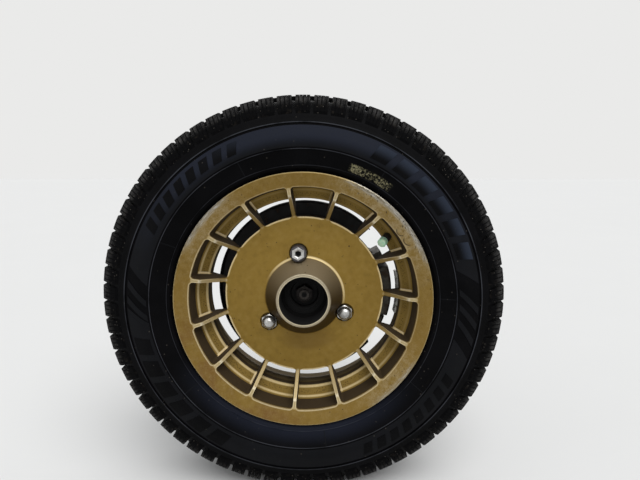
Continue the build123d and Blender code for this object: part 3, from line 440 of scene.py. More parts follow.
def rubber(name, base, tired, dust=0.1, sheen=0.04, lines=False, painted_sky_sheen=None):
    """Moulded rubber with a dull bloom and a little dust, from the setting that base names. The sidewall has
    pale ring lines, a chalk smudge and a painted bluish sheen low on the bead. A painted sky sheen on the
    upper side is given as its colour, clock angle, foot and head."""
    f = Finish(name, roughness=0.5, specular_ior_level=sheen)
    here = f.place()
    radius, clock, along = f.polar(here)
    bloom = f.noise(here, 46.0, 4.0, 0.6)
    grain = f.noise(here, 0.8, 3.0, 0.6)
    smear = f.noise(f.place(stretch=(1.0, 1.0, 0.35)), 11.0, 5.0, 0.65, 0.6)
    tint = f.layers(
        tuple(getattr(bpy.context.scene.wheel_tyre, base)),
        (bloom.rise(0.35, 0.7), tired),
        (smear.rise(0.58, 0.85) * dust, rgb(58, 53, 48)),
        (f.cells(here, 12.0).rise(0.09, 0.05) * 0.3, rgb(96, 90, 82)))
    if lines:
        crests = (radius.line(212.6, 0.7, 0.3) * 0.5).higher_of(radius.line(247.4, 0.9, 0.4) * 0.55)
        crests = crests.higher_of(radius.line(190.9, 0.6, 0.3) * 0.25)
        # painted sheen: bluish on the lower part of the bead
        painted_bead_sheen = clock.towards(185.0, 0.45, 0.95) * radius.rise(214.0, 190.0)
        chalk = clock.near(27.5, 9.5, 7.5) * radius.band(193.5, 203.0, 1.5) * along.rise(0.0, -5.0)
        chalk = chalk * (f.noise(here, 2.6, 4.0, 0.75) * 0.8 + smear * 0.4).rise(0.56, 0.7)
        tint = f.layers(
            tint,
            (painted_bead_sheen * (0.75 + 0.25 * bloom), rgb(27, 30, 40)),
            (crests * bloom.rise(0.25, 0.6), rgb(74, 76, 82)),
            (chalk * 0.85, f.mix(grain, rgb(108, 102, 76), rgb(172, 166, 130))))
    # painted sky sheen: the upper side paler and bluer
    if painted_sky_sheen:
        paler, middle, foot, head = painted_sky_sheen
        upper = clock.towards(middle, 0.25, 0.85)
        tint = f.mix(upper * radius.rise(foot, head) * (0.8 + 0.2 * bloom), tint, paler)
    rings = ((radius * 3.4).sine() * 0.5 + 0.5) * radius.rise(246.0, 244.0)
    bump = f.relief(grain * 0.5 + rings * 0.25 + smear * 0.3, 0.25, 0.5)
    return f.paint(base_color=tint, roughness=0.4 + bloom * 0.16 + smear * 0.12, normal=bump)


def tread_rubber():
    """Scrubbed tread with grit in its sipes."""
    look = bpy.context.scene.wheel_tyre
    f = Finish("tread_rubber", roughness=0.8, specular_ior_level=0.05)
    here = f.place()
    radius, clock, along = f.polar(here)
    grain = f.noise(here, 1.3, 4.0, 0.65)
    dirt_and_reflection = f.noise(here, 8.0, 4.0, 0.6)
    scrubbed = radius.rise(tyre_radius - 6.0, tyre_radius - 2.5)
    zigzag = ((along * 1.9).sine() * 0.9 + clock * radius * 2.4).sine().rise(0.86, 0.97) * scrubbed
    sipes = (clock * (look.pitches * 4.0)).sine().rise(0.5, 0.9)
    dusty = radius.rise(269.0, 279.0) * abs(along).rise(50.0, 64.0) * (1.0 - sipes)
    tint = f.layers(
        tuple(look.rubber),
        (scrubbed * 0.8, rgb(14, 14, 14)),
        (dirt_and_reflection.rise(0.55, 0.8) * 0.3, rgb(62, 56, 49)),
        (dusty * (grain * 0.6 + dirt_and_reflection * 0.5).rise(0.4, 0.7) * 0.85, rgb(66, 65, 64)),
        (f.cells(here, 5.0).rise(0.15, 0.06) * 0.5, rgb(118, 112, 103)),
        (zigzag * 0.75, rgb(8, 8, 8)))
    bump = f.relief(grain - zigzag * 0.7, 0.5, 0.7)
    return f.paint(base_color=tint, roughness=0.7 + 0.2 * grain, normal=bump)


def plain_rubber():
    """Moulded rubber with no marks, dusty."""
    f = Finish("moulded_rubber", roughness=0.5)
    here = f.place()
    grain = f.noise(here, 1.1, 4.0, 0.6)
    dust = f.noise(here, 7.0, 4.0, 0.6)
    tint = f.mix(dust.rise(0.5, 0.8) * 0.35, rgb(26, 25, 25), rgb(92, 82, 70))
    return f.paint(base_color=tint, roughness=0.45 + dust * 0.3, normal=f.relief(grain, 0.2, 0.5))


def cap_plastic():
    """Pale green plastic, yellowed and dusty."""
    f = Finish("cap_plastic", roughness=0.45, subsurface_weight=0.15)
    here = f.place()
    patches = f.noise(here, 3.5, 4.0, 0.6)
    tint = f.mix(patches.rise(0.35, 0.75), rgb(158, 204, 174), rgb(184, 204, 174))
    tint = f.mix(f.noise(here, 1.2, 3.0).rise(0.6, 0.75) * 0.35, tint, rgb(110, 118, 88))
    return f.paint(base_color=tint, roughness=0.38 + patches * 0.25, normal=f.relief(patches, 0.2, 0.4))


def metal(name, colour, shadow, roughness, metallic, rust=0.0, cast=0.0, turned=0.0, size=8.0,
          centre=None, shaded_hole=0.0, feet=()):
    """Bare or plated metal with tarnish and, where they are asked for, rust, cast grain, turning lines, a
    middle painted near black within a radius as painted shade, and a painted dark reflection on the upper
    side of domes' feet."""
    f = Finish(name, roughness=roughness, metallic=metallic)
    here = f.place(centre)
    radius, _, along = f.polar(here)
    patch = f.noise(here, size, 5.0, 0.62)
    fine = f.noise(here, size / 7.0, 4.0, 0.6)
    tint = f.mix(patch.rise(0.3, 0.72), colour, shadow)
    tint = f.mix(fine.rise(0.5, 0.8) * 0.3, tint, tuple(c * 0.45 for c in shadow))
    height = fine * (0.25 + cast) + patch * cast * 0.6
    gloss = roughness + patch * 0.22 + fine * 0.08
    shine = metallic
    if rust:
        spread = (patch * 0.65 + fine * 0.35).rise(0.62 - 0.3 * rust, 0.74 - 0.2 * rust)
        tint = f.mix(spread * 0.9, tint, f.mix(fine, rgb(74, 50, 34), rgb(104, 74, 50)))
        gloss = gloss + spread * 0.35
        shine = metallic - spread * metallic * 0.85
        height = height + spread * fine * 0.8
    if turned:
        lines = f.noise(f.vector(radius, along, 0.0), 0.5, 2.0, 0.7)
        height = height + lines * turned
        tint = f.mix(lines.rise(0.4, 0.8) * 0.35, tint, tuple(min(1.0, c * 1.5) for c in colour))
    # painted shade: within the given radius near black, dull and not metallic
    if shaded_hole:
        inside = radius.rise(shaded_hole, shaded_hole - 0.8)
        tint = f.mix(inside, tint, rgb(5, 5, 5))
        shine = shine - inside * metallic
        gloss = gloss + inside * 0.6
    for foot in feet:
        reach, around, _ = f.polar(f.place(foot))
        # painted dark reflection round the upper side of each dome's foot
        dirt_and_reflection = reach.band(8.2, 10.2, 0.4) * around.cosine().rise(-0.1, 0.45)
        tint = f.mix(dirt_and_reflection * 0.9, tint, rgb(14, 13, 12))
        shine = shine - dirt_and_reflection * metallic * 0.8
    values = {"base_color": tint, "roughness": gloss, "normal": f.relief(height, 0.35, 0.6)}
    if rust or shaded_hole or feet:
        values["metallic"] = shine
    return f.paint(**values)


def pad_lining():
    """Coarse friction compound with brass and graphite grains."""
    f = Finish("pad_lining", roughness=0.85)
    here = f.place()
    grains = f.cells(here, 1.3)
    tint = f.mix(grains.rise(0.2, 0.6), rgb(74, 66, 60), rgb(44, 40, 38))
    tint = f.mix(f.cells(here, 3.1).rise(0.12, 0.05), tint, rgb(150, 118, 62))
    return f.paint(base_color=tint, roughness=0.75 + grains * 0.2, normal=f.relief(grains, 0.4, 0.7))


def disc_iron():
    """Swept rings bright, the hat and the edge rusty."""
    f = Finish("disc_iron", roughness=0.35, metallic=0.9)
    here = f.place()
    radius, clock, along = f.polar(here)
    ring_place = f.vector(radius, along * 0.2, clock * 2.0)
    lines = f.noise(ring_place, 0.45, 3.0, 0.7)
    broad = f.noise(ring_place, 3.2, 2.0, 0.6)
    patch = f.noise(here, 9.0, 5.0, 0.62)
    swept = radius.band(86.5, 112.3, 0.6)
    rust = f.mix(patch.rise(0.3, 0.7), rgb(92, 54, 30), rgb(66, 46, 34))
    bright = f.mix(lines.rise(0.3, 0.75), rgb(150, 147, 143), rgb(96, 93, 90))
    bright = f.mix(broad.rise(0.55, 0.8) * 0.35, bright, rgb(120, 92, 66))
    height = lines * swept * 0.6 + patch * (1.0 - swept)
    return f.paint(base_color=f.mix(swept, rust, bright), metallic=0.25 + swept * 0.7,
                   roughness=0.28 + lines * 0.15 + (1.0 - swept) * 0.4, normal=f.relief(height, 0.3, 0.6))


# each metal's colour and shadow as a screen shows them, its roughness, how metallic it is, and its features
# where a radius is given below, the piece's middle within it is painted near black as painted shade
METALS = {
    "bright_plate": ((214, 214, 212), (168, 166, 162), 0.12, 0.72, {"size": 16.0}),
    # the domes carry a painted dark reflection on the upper side of their feet
    "dome_plate": ((204, 204, 202), (140, 138, 134), 0.1, 0.85,
                   {"size": 12.0, "feet": [nut_place(angle) for angle in stud_angles[1:]]}),
    "socket_plate": ((206, 205, 202), (150, 148, 144), 0.14, 0.8,
                     {"size": 16.0, "shaded_hole": 4.6, "centre": nut_place(stud_angles[0])}),
    "shaft_steel": ((68, 64, 61), (40, 37, 34), 0.4, 0.9, {"turned": 0.7, "size": 9.0, "shaded_hole": 4.2}),
    "hub_steel": ((92, 88, 84), (60, 55, 51), 0.42, 1.0, {"rust": 0.35, "cast": 0.3, "shaded_hole": 34.0}),
    # the thrust washer, near black as painted shade deep in the boss
    "greased_steel": ((15, 14, 14), (8, 8, 8), 0.6, 0.3, {"turned": 0.4, "size": 6.0}),
    "dark_plate": ((84, 82, 86), (56, 53, 54), 0.4, 0.55, {"rust": 0.12}),
    "plain_steel": ((150, 147, 142), (104, 98, 92), 0.32, 1.0, {"rust": 0.25}),
    "nut_steel": ((46, 43, 41), (24, 21, 20), 0.38, 0.8, {"turned": 0.8, "size": 5.0, "shaded_hole": 3.2}),
    "knuckle_iron": ((74, 70, 67), (48, 44, 41), 0.55, 0.75, {"rust": 0.4, "cast": 0.9, "size": 11.0}),
    "caliper_iron": ((98, 94, 86), (66, 60, 53), 0.5, 0.7, {"rust": 0.28, "cast": 0.8, "size": 9.0}),
    "zinc_weight": ((214, 214, 208), (170, 169, 162), 0.42, 0.3, {"size": 4.0}),
    "black_sheet": ((36, 35, 35), (24, 23, 23), 0.45, 0.2, {"rust": 0.22, "cast": 0.15, "size": 14.0}),
}

# the mark and panel rubbers carry a painted sky sheen on their upper side
RUBBERS = {
    "sidewall_rubber": {"base": "rubber", "tired": rgb(8, 8, 10), "lines": True},
    "mark_rubber": {"base": "rubber", "tired": rgb(8, 8, 10), "dust": 0.08, "sheen": 0.05,
                    "painted_sky_sheen": (rgb(43, 49, 61), 38.0, 223.0, 240.0)},
    "panel_rubber": {"base": "panel", "tired": rgb(10, 11, 15), "dust": 0.06, "sheen": 0.1,
                     "painted_sky_sheen": (rgb(25, 29, 40), 0.0, 214.0, 231.0)},
}

OTHERS = {maker.__name__: maker
          for maker in (gold_casting, tread_rubber, plain_rubber, cap_plastic, pad_lining, disc_iron)}
finishes = {}


def finish_named(name):
    """The finish of this name, made once."""
    if name not in finishes:
        if name in METALS:
            colour, shadow, roughness, metallic, features = METALS[name]
            finishes[name] = metal(name, rgb(*colour), rgb(*shadow), roughness, metallic, **features)
        else:
            finishes[name] = rubber(name, **RUBBERS[name]) if name in RUBBERS else OTHERS[name]()
    return finishes[name]


# Modelling by hand

def clear():
    """Leaves edit mode with nothing selected."""
    if bpy.context.mode != "OBJECT":
        bpy.ops.object.mode_set(mode="OBJECT")
    bpy.ops.object.select_all(action="DESELECT")


def take(piece):
    """Makes this the one selected object."""
    clear()
    piece.select_set(True)
    bpy.context.view_layer.objects.active = piece
    return piece


def edit(piece, mode="FACE"):
    """Opens a piece in edit mode with all of it selected."""
    take(piece)
    bpy.ops.object.mode_set(mode="EDIT")
    bpy.ops.mesh.select_mode(type=mode)
    bpy.ops.mesh.select_all(action="SELECT")


def applied(piece):
    """Writes an object's place and turn into its mesh."""
    take(piece)
    bpy.ops.object.transform_apply()
    return piece


def turn_outwards():
    """Turns the faces of the piece in edit mode outwards, and leaves it."""
    bpy.ops.mesh.select_all(action="SELECT")
    bpy.ops.mesh.normals_make_consistent(inside=False)
    clear()


def turned(rows, sides, ends="ring"):
    """A circle about the axle, extruded through rows of (radius, y) in millimetres.
    Its two ends are bridged to make a ring, or filled."""
    clear()
    radius, start = rows[0]
    bpy.ops.mesh.primitive_circle_add(vertices=sides, radius=radius * MM, location=(0, start * MM, 0),
                                      rotation=(math.pi / 2, 0, 0))
    piece = applied(bpy.context.object)
    edit(piece, "EDGE")
    for (radius, y), (next_radius, next_y) in zip(rows, rows[1:]):
        bpy.ops.mesh.extrude_region()
        if next_radius != radius:
            scale = next_radius / radius
            bpy.ops.transform.resize(value=(scale, 1, scale), center_override=(0, y * MM, 0))
        if next_y != y:
            bpy.ops.transform.translate(value=(0, (next_y - y) * MM, 0))
    bpy.ops.mesh.select_all(action="DESELECT")
    bpy.ops.mesh.select_non_manifold()
    if ends == "ring":
        bpy.ops.mesh.bridge_edge_loops()
    else:
        bpy.ops.mesh.fill_holes(sides=0)
    turn_outwards()
    return piece


def middle_of(row):
    """Middle of a drawn bar's row."""
    y, low, high, left, right = row
    return [(left + right) / 2, y, (low + high) / 2]


def drawn_bar(rows):
    """A face across Y, extruded through rows of (y, low z, high z, left x, right x) in millimetres."""
    clear()
    bpy.ops.mesh.primitive_plane_add(size=MM, rotation=(math.pi / 2, 0, 0))
    piece = applied(bpy.context.object)
    edit(piece)
    was = (0.0, -0.5, 0.5, -0.5, 0.5)
    for count, row in enumerate(rows):
        if count:
            bpy.ops.mesh.extrude_region()
        middle = middle_of(was)
        wider = (row[4] - row[3]) / (was[4] - was[3])
        taller = (row[2] - row[1]) / (was[2] - was[1])
        bpy.ops.transform.resize(value=(wider, 1, taller), center_override=[c * MM for c in middle])
        bpy.ops.transform.translate(value=[(b - a) * MM for a, b in zip(middle, middle_of(row))])
        was = row
    turn_outwards()
    return piece


def joined(pieces):
    """Several pieces as one."""
    clear()
    for piece in pieces:
        piece.select_set(True)
    bpy.context.view_layer.objects.active = pieces[0]
    bpy.ops.object.join()
    return bpy.context.object


def repeat_round(piece, count):
    """Repeats a piece round the axle, evenly."""
    edit(piece)
    bpy.ops.mesh.spin(steps=count - 1, dupli=True, angle=2 * math.pi * (count - 1) / count,
                      center=(0, 0, 0), axis=(0, 1, 0))
    clear()
    return piece


def shape(piece, kind, **settings):
    """Adds a modifier and applies it."""
    take(piece)
    modifier = piece.modifiers.new(kind.title(), kind)
    for name, value in settings.items():
        setattr(modifier, name, value)
    bpy.ops.object.modifier_apply(modifier=modifier.name)
    return piece


def bevelled(piece, width, angle, **settings):
    """Rounds the edges that are sharper than an angle in degrees, by a width in millimetres."""
    return shape(piece, "BEVEL", width=width * MM, segments=2, limit_method="ANGLE",
                 angle_limit=math.radians(angle), **settings)


def moved(rows, y):
    """Rows of (radius, y), moved along the axle."""
    return [(radius, start + y) for radius, start in rows]


def hexagon(across_flats, start, end):
    """A hexagonal bar along the axle with chamfered corners at its outer end."""
    radius = across_flats / 2 / math.cos(math.pi / 6)
    chamfer_foot, clear_radius = across_flats / 2 - 0.6, radius + 1.2
    bar = turned([(radius, start), (radius, end)], 6, "fill")
    cone = turned([(chamfer_foot, start - 0.01), (clear_radius, start + 2.0), (clear_radius, end + 1.0)],
                  48, "fill")
    shape(bar, "BOOLEAN", operation="INTERSECT", object=cone, solver="EXACT")
    bpy.data.objects.remove(cone)
    return bar


def painted(piece, finish):
    """Gives a piece its finish in place of what it has."""
    piece.data.materials.clear()
    piece.data.materials.append(finish_named(finish))


def settle(piece, name, body, finish, stands_for=(), place=None, smooth=35.0):
    """Moves a piece from the axle's origin to its place, and gives it its name, body and finish."""
    piece.location = hub_centre if place is None else place
    applied(piece)
    piece.name = piece.data.name = name
    bpy.ops.object.shade_smooth_by_angle(angle=math.radians(smooth))
    painted(piece, finish)
    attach(piece, body)
    if stands_for:
        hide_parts(*stands_for)
    clear()
    return piece


def softened(node, name, body, finish, width, angle, flat):
    """A merged copy of a carried-over piece, with its edges rounded."""
    clear()
    piece = nodes[node].copy()
    piece.data = nodes[node].data.copy()
    piece.parent = None
    piece.animation_data_clear()
    for key in list(piece.keys()):
        del piece[key]
    bpy.context.scene.collection.objects.link(piece)
    edit(piece, "VERT")
    bpy.ops.mesh.remove_doubles(threshold=0.00001)
    bpy.ops.mesh.dissolve_limited(angle_limit=math.radians(flat))
    turn_outwards()
    bevelled(piece, width, angle, use_clamp_overlap=True, harden_normals=False)
    settle(piece, name, body, finish, (node,), place=(0, 0, 0))
    shape(piece, "WEIGHTED_NORMAL", keep_sharp=True, weight=80)
    clear()
    return piece


# Tyre

def sidewall_y(radius):
    """Height in millimetres of the tyre's side over the rim's centre plane, from bead to shoulder."""
    if radius < 188.2:
        return 63.5 + (radius - 178.2)
    if radius < 213.7:
        return 73.5 + (radius - 188.2) * 0.3698
    if radius < 230.6:
        return 55.2 + math.sqrt(29.6 ** 2 - (radius - 224.0) ** 2)
    if radius < 248.0:
        return 86.0 - (radius - 222.0) * 0.2308
    return 80.0 - (radius - 248.0) * 0.4068


# the skin's bands and ring lines as (radius, how far it stands back from the side there)
SIDE_RELIEF = (
    (183.0, 0.9), (186.0, 0.9), (187.6, 0.9), (188.8, 0.9), (189.8, 0.8), (190.4, 0.25), (191.4, 0.25),
    (192.0, 1.0), (196.0, 1.1), (200.0, 1.1), (204.0, 1.1), (208.0, 1.0), (211.6, 0.9), (212.1, 0.1),
    (213.1, 0.1), (213.7, 1.0), (216.0, 1.3), (219.0, 1.25), (222.0, 1.2), (225.0, 1.2), (228.0, 1.2),
    (231.0, 1.25), (234.0, 1.25), (238.0, 1.25), (242.0, 1.2), (243.8, 1.2), (244.3, 1.7), (246.0, 1.7),
    (246.5, 0.25), (248.4, 0.15), (249.0, 2.0), (251.0, 2.3), (254.0, 2.0), (257.0, 1.8))

# raised strips of both sides: clock angles where they start, how far they reach round, inner and outer
# radius, how far their ends lean, thickness, and steps along them
SIDE_PANELS = (((-83.0, 103.0), 160.0, 215.2, 243.2, 6.0, 0.7, 120),)
SIDE_BARS = (((-102.0, -96.5, -91.0, 84.0, 89.5, 95.0), 2.4, 216.0, 242.5, 7.0, 0.9, 4),
             ((-66.0, -24.0, 31.0, 88.0, 127.0, 171.0, -128.0), 0.3, 191.8, 211.8, 0.0, 0.5, 3))
# rows of plain slanted blocks: first angle, count, step, span, inner and outer radius
SIDE_MARKS = [([first + k * step for k in range(count)], span, inner, outer, 1.6, 1.3, 3)
              for first, count, step, span, inner, outer in (
                  (-64.0, 8, 5.4, 3.3, 222.5, 238.5), (24.0, 6, 8.6, 6.0, 219.5, 240.5),
                  (-152.0, 6, 8.6, 6.0, 219.5, 240.5), (116.0, 8, 5.4, 3.3, 222.5, 238.5))]


def carcass():
    """The tyre's whole skin, with its bead ribs, ring lines and the floor of the tread's grooves."""
    side = [(164.9, 44.5), (164.9, 60.5), (166.0, 62.6), (170.0, 63.3), (178.0, 63.4)]
    side += [(radius, sidewall_y(radius) - inset) for radius, inset in SIDE_RELIEF]
    side += [(260.2, 73.2), (268.0, 67.0), (274.5, 60.5), (277.6, 52.0), (279.2, 38.0), (279.6, 20.0)]
    rows = [(r, -y) for r, y in side] + [(279.7, 0.0)] + [(r, y) for r, y in reversed(side)]
    inner = [(173.0, 44.5), (186.0, 58.0), (215.0, 76.0), (250.0, 70.0), (264.0, 48.0), (267.0, 0.0)]
    rows += [(r, y) for r, y in inner] + [(r, -y) for r, y in reversed(inner[:-1])]
    return turned(rows, 240)


def swung(piece, angle):
    """Turns a piece about the axle by an angle in radians."""
    piece.rotation_euler = (0, angle, 0)
    return applied(piece)


def lamellae(rows, length, count, gap, middle):
    """One tread block as leaves along its arc, parted by sipes. Its rows are (y, low, high, shift)."""
    width = (length - gap * (count - 1)) / count
    leaves = []
    for k in range(count):
        leaf = drawn_bar([(y, low, high, shift - width / 2, shift + width / 2)
                          for y, low, high, shift in rows])
        leaves.append(swung(leaf, middle + (k - (count - 1) / 2) * (width + gap) / tyre_radius))
    return joined(leaves)


def tread():
    """Siped blocks: two pitches drawn from given rows, then repeated round the tyre."""
    look = bpy.context.scene.wheel_tyre
    sipe, cross_slot = 0.6, 5.65  # widths of the thin cuts and of the slots between middle blocks
    top = tyre_radius - 0.1
    low = top - look.groove / MM - 1.0
    pitch = 2 * math.pi / look.pitches
    arc = pitch * tyre_radius
    shoulder = [(38.0, low + 0.5, top - 0.9, 0.0), (59.6, low - 3.0, top - 3.0, 0.6),
                (61.6, low - 5.0, top - 4.6, 0.7), (67.4, 269.0, top - 9.9, 0.8),
                (71.0, 263.0, 270.0, 0.9), (74.0, 258.5, 262.4, 0.9)]
    middle = [(9.5, low, top - 0.1, -3.4), (20.5, low, top - 0.3, 0.0), (31.5, low, top - 0.9, 3.4)]
    rib = [(-5.6, low, top, -1.0), (0.0, low, top, 0.6), (5.6, low, top, -1.0)]
    blocks = []
    for side in (1, -1):
        outer = [(side * y, a, b, c) for y, a, b, c in shoulder]
        inner = [(side * y, a, b, c) for y, a, b, c in middle]
        blocks += [lamellae(outer, arc * look.block_share, 4, sipe, pitch * k) for k in (0, 1)]
        blocks.append(lamellae(inner, 2 * arc - cross_slot, 7, sipe, pitch))
    blocks += [lamellae(rib, arc - sipe, 4, sipe, pitch * k) for k in (0, 1)]
    return repeat_round(joined(blocks), look.pitches // 2)


def side_strip(start, end, inner, outer, lean, thickness, steps, skin, side):
    """A raised strip on the tyre's side between two clock angles, its ends leaning by some degrees."""
    clear()
    bpy.ops.mesh.primitive_grid_add(x_subdivisions=steps, y_subdivisions=5, size=1.0,
                                    rotation=(math.pi / 2, 0, 0))
    piece = applied(bpy.context.object)
    outside_tyre = 95.0
    for v in piece.data.vertices:
        share, rise = v.co.x + 0.5, v.co.z + 0.5
        radius = inner + (outer - inner) * rise
        angle = math.radians(start + (end - start) * share + lean * rise)
        v.co = (radius * math.sin(angle) * MM, side * outside_tyre * MM, radius * math.cos(angle) * MM)
    shape(piece, "SHRINKWRAP", wrap_method="PROJECT", target=skin, use_project_y=True,
          use_positive_direction=side < 0, use_negative_direction=side > 0, project_limit=0.08, offset=0.0)
    edit(piece)
    turn_outwards()
    return shape(piece, "SOLIDIFY", thickness=thickness * MM, offset=0.6)


def side_strips(rows, skin):
    """The strips of both sides as one piece."""
    return joined([side_strip(start, start + span, inner, outer, lean, thickness, steps, skin, side)
                   for side in (-1, 1)
                   for starts, span, inner, outer, lean, thickness, steps in rows
                   for start in starts])


class WHEEL_OT_tyre(bpy.types.Operator):
    """Models the tyre's skin, tread blocks and the raised marks on its sides"""
    bl_idname = "wheel.tyre"
    bl_label = "Tyre"

    def execute(self, context):
        skin = carcass()
        panels, bars, marks = [side_strips(rows, skin) for rows in (SIDE_PANELS, SIDE_BARS, SIDE_MARKS)]
        settle(skin, "tyre_skin", "wheel", "sidewall_rubber", ("tyre",), smooth=25.0)
        settle(panels, "tyre_panels", "wheel", "panel_rubber")
        settle(bars, "tyre_bars", "wheel", "panel_rubber")
        settle(marks, "tyre_marks", "wheel", "mark_rubber")
        settle(tread(), "tread_blocks", "wheel", "tread_rubber", smooth=20.0)
        return {"FINISHED"}


# Casting

class WHEEL_OT_casting(bpy.types.Operator):
    """Rounds the edges of the one-piece casting and paints it"""
    bl_idname = "wheel.casting"
    bl_label = "Cast wheel"

    def execute(self, context):
        softened("cast_wheel", "casting", "wheel", "gold_casting", 0.7, 40.0, 0.3)
        return {"FINISHED"}


# Fixing

# outlines as (radius, y), where y counts from the nuts' seat, the end of the axle or the valve's seat
DOME = ((8.6, -11.0), (8.6, -12.2), (10.1, -12.4), (10.1, -13.0), (9.8, -14.4), (9.1, -16.0), (8.0, -17.6),
        (6.5, -19.0), (4.6, -20.2), (2.5, -20.8), (0.3, -21.0))
SLEEVE = ((12.0, -0.1), (12.0, -18.4), (11.5, -19.8), (10.2, -20.6), (8.6, -20.8), (8.4, -19.0), (8.4, -8.0))
SOCKET = ((10.2, -12.0), (10.2, -20.4), (9.6, -21.0), (6.6, -21.0), (4.7, -19.8))
AXLE_COLLAR = ((8.2, 0.4), (8.6, -0.5), (9.6, -0.5), (10.0, 0.4))
CAP = ((6.75, -14.6), (6.75, -22.4), (5.4, -23.9))
CAP_COLLAR = ((3.1, -14.05), (6.2, -14.05), (6.5, -14.4), (6.5, -15.4), (6.0, -15.8), (3.1, -15.8))


class WHEEL_OT_nuts(bpy.types.Operator):
    """Models the two domed nuts and the locking nut in their pockets"""
    bl_idname = "wheel.nuts"
    bl_label = "Wheel nuts"

    def execute(self, context):
        nuts = []
        for angle in stud_angles[1:]:
            body = hexagon(nut_flats, nut_seat - nut_length, nut_seat - 0.1)
            nut = joined([body, turned(moved(DOME, nut_seat), 48, "fill")])
            nut.location = nut_place(angle) - hub_centre
            nuts.append(applied(nut))
        settle(joined(nuts), "plated_nuts", "wheel", "dome_plate", ("domed_nuts",),
               smooth=28.0)
        top_place = nut_place(stud_angles[0])
        settle(turned(moved(SLEEVE, nut_seat), 48, "fill"), "nut_sleeve", "wheel", "dark_plate",
               ("locking_nut",), top_place, 28.0)

        ring = turned(moved(SOCKET, nut_seat), 6, "fill")
        edit(ring)
        bpy.ops.mesh.select_all(action="DESELECT")
        clear()
        for face in ring.data.polygons:
            face.select = face.normal.y < -0.9 and abs(face.center.x) < 0.001 and abs(face.center.z) < 0.001
        take(ring)
        bpy.ops.object.mode_set(mode="EDIT")
        bpy.ops.mesh.extrude_region()
        bpy.ops.transform.resize(value=(socket_taper, 1, socket_taper))
        bpy.ops.transform.translate(value=(0, socket_depth * MM, 0))
        clear()
        settle(bevelled(ring, 0.35, 30), "nut_socket", "wheel", "socket_plate", (), top_place)
        return {"FINISHED"}


class WHEEL_OT_axle_end(bpy.types.Operator):
    """Models the nut and the washer on the stub axle in the boss"""
    bl_idname = "wheel.axle_end"
    bl_label = "Axle end"

    def execute(self, context):
        nut = hexagon(axle_nut_flats, axle_end, axle_end + axle_nut_length)
        collar = turned(moved(AXLE_COLLAR, axle_end), 48)
        settle(joined([nut, collar]), "stub_nut", "wheel", "nut_steel", ("axle_nut",))
        low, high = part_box("axle_washer")
        start, end = (low.y - hub_centre.y) / MM, (high.y - hub_centre.y) / MM
        bore, radius, chamfer = 8.4, (high.z - low.z) / 2 / MM, 0.6
        washer = turned([(bore, start), (radius - chamfer, start), (radius, start + chamfer), (radius, end),
                         (bore, end)], 64)
        # the washer's near black steel is painted shade
        settle(washer, "thrust_washer", "wheel", "greased_steel", ("axle_washer",))
        return {"FINISHED"}


class WHEEL_OT_valve(bpy.types.Operator):
    """Models the valve's ribbed cap and coats its stem and the balance weights"""
    bl_idname = "wheel.valve"
    bl_label = "Valve and weights"

    def execute(self, context):
        cap = joined([bevelled(turned(CAP, 8, "fill"), 0.45, 30), turned(CAP_COLLAR, 32)])
        cap.rotation_euler = (valve_lean, valve_angle, 0)
        seat = Vector((math.sin(valve_angle) * valve_radius, valve_y, math.cos(valve_angle) * valve_radius))
        settle(cap, "ribbed_cap", "wheel", "cap_plastic", ("valve_cap",),
               hub_centre + seat * MM, 20.0)
        softened("valve_stem", "stem", "wheel", "plain_rubber", 0.5, 30.0, 0.3)
        softened("balance_weights", "stick_weights", "wheel", "zinc_weight", 0.7, 30.0, 0.3)
        return {"FINISHED"}


# Hidden side

COATS = {
    "plain_steel": ("pinch_bolts", "wheel_bearing", "shield_bolts", "carrier_bolts", "guide_pins",
                    "bleed_screw", "wheel_studs", "joint_race"),
    "bright_plate": ("caliper_piston", "joint_balls"),
    "pad_lining": ("inner_pad", "outer_pad"),
    "plain_rubber": ("pin_boots",),
    "black_sheet": ("splash_shield",),
    "hub_steel": ("hub",),
    "disc_iron": ("brake_disc",),
    "shaft_steel": ("drive_joint",),
}


class WHEEL_OT_running_gear(bpy.types.Operator):
    """Rounds and coats the hub, the brake, the drive joint and the knuckle"""
    bl_idname = "wheel.running_gear"
    bl_label = "Hub, brake and knuckle"

    def execute(self, context):
        for node, name, slot, finish, width in (
                ("knuckle", "cast_knuckle", "knuckle_iron", "knuckle_iron", 1.0),
                ("caliper", "cast_caliper", "caliper_iron", "caliper_iron", 1.0),
                ("caliper_carrier", "cast_carrier", "knuckle_iron", "caliper_iron", 0.8)):
            softened(node, name, "knuckle", finish, width, 38.0, 0.4)
        for finish, coated in COATS.items():
            for node in coated:
                painted(nodes[node], finish)
        return {"FINISHED"}


# Stage

def lamp(name, place, strength, spread):
    """A broad light that shines from a place to the wheel, as wide as this many degrees."""
    clear()
    bpy.ops.object.light_add(type="SUN", location=place)
    light = bpy.context.object
    light.name = name
    light.data.energy = strength
    light.data.angle = math.radians(spread)
    light.rotation_euler = (hub_centre - Vector(place)).to_track_quat("-Z", "Y").to_euler()


# the camera that was fitted to the photograph: place in metres, and turns in radians
CAMERA_PLACE = (0.02639, -0.81727, 0.27586)
CAMERA_DIP, CAMERA_TURN = 0.1444673, 0.0039846


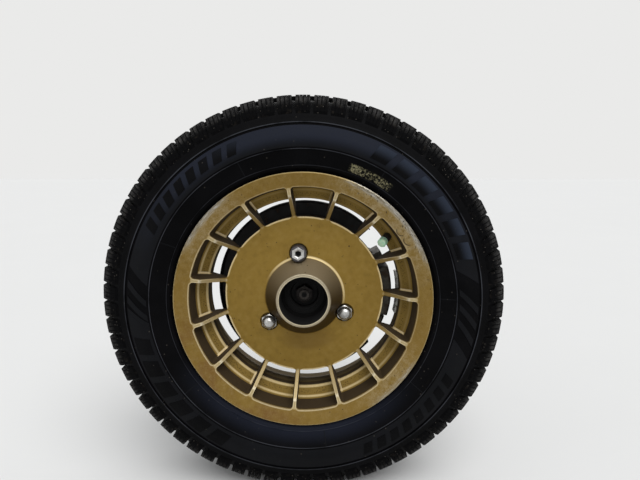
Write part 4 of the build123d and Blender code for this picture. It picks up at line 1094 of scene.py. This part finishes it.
class WHEEL_OT_stage(bpy.types.Operator):
    """Sets the camera at the reference view, the floor, the lamps and the plain background"""
    bl_idname = "wheel.stage"
    bl_label = "Stage"

    def execute(self, context):
        look = context.scene.wheel_stage
        context.scene.view_settings.view_transform = "Standard"
        clear()
        bpy.ops.object.camera_add(location=CAMERA_PLACE,
                                  rotation=(math.pi / 2 - CAMERA_DIP, 0.0, CAMERA_TURN))
        camera = context.object
        camera.name = "reference_camera"
        camera.data.lens = look.lens
        camera.data.sensor_width = 36.0
        context.scene.camera = camera

        clear()
        bpy.ops.mesh.primitive_plane_add(size=40.0, location=(0, 0, floor_height))
        ground = applied(context.object)
        ground.name = "floor"
        f = Finish("floor", roughness=1.0, specular_ior_level=0.0)
        patch = f.noise(f.place(), 400.0, 4.0, 0.6)
        floor_tint = f.mix(patch * 0.12, tuple(look.floor), rgb(200, 200, 199))
        ground.data.materials.append(f.paint(base_color=floor_tint))

        world = bpy.data.worlds.new("even_sky")
        context.scene.world = world
        world.use_nodes = True
        sky = Nodes(world.node_tree)
        path = sky.add("LightPath", {}, {})
        shown = path.outputs["Is Camera Ray"]
        for kind in ("Is Glossy Ray", "Is Transmission Ray"):
            shown = sky.add("Math", {"operation": "MAXIMUM"}, {0: shown, 1: path.outputs[kind]}).outputs[0]
        tint = sky.mix(shown, (look.sky * 0.96, look.sky * 0.98, look.sky), rgb(234, 234, 233))
        sky.feed(sky.tree.nodes["Background"].inputs["Color"], tint)

        lamp("key_lamp", (0.6, -1.5, 2.3), look.key, 50.0)
        lamp("fill_lamp", (-2.0, -1.6, 1.2), look.fill, 70.0)
        lamp("back_lamp", (0.6, 2.0, 1.9), look.back, 60.0)
        return {"FINISHED"}


SETTINGS = {"wheel_paint": PaintSettings, "wheel_tyre": TyreSettings, "wheel_stage": StageSettings}
STEPS = (WHEEL_OT_stage, WHEEL_OT_tyre, WHEEL_OT_casting, WHEEL_OT_nuts, WHEEL_OT_axle_end, WHEEL_OT_valve,
         WHEEL_OT_running_gear)


class WHEEL_PT_panel(bpy.types.Panel):
    """Lists the steps that dress the wheel"""
    bl_idname = "WHEEL_PT_panel"
    bl_label = "Front Wheel"
    bl_space_type = "VIEW_3D"
    bl_region_type = "UI"
    bl_category = "Front Wheel"

    def draw(self, context):
        layout = self.layout
        for kind in SETTINGS:
            group, box = getattr(context.scene, kind), layout.box()
            for name in group.__annotations__:
                box.prop(group, name)
        for step in STEPS:
            layout.operator(step.bl_idname)


CLASSES = (*SETTINGS.values(), *STEPS, WHEEL_PT_panel)


def register():
    for each in CLASSES:
        bpy.utils.register_class(each)
    for name, group in SETTINGS.items():
        setattr(bpy.types.Scene, name, bpy.props.PointerProperty(type=group))


def unregister():
    for name in SETTINGS:
        delattr(bpy.types.Scene, name)
    for each in reversed(CLASSES):
        bpy.utils.unregister_class(each)


def main():
    register()
    bpy.ops.wheel.stage()
    bpy.ops.wheel.tyre()
    bpy.ops.wheel.casting()
    bpy.ops.wheel.nuts()
    bpy.ops.wheel.axle_end()
    bpy.ops.wheel.valve()
    bpy.ops.wheel.running_gear()


if __name__ == "__main__":
    main()
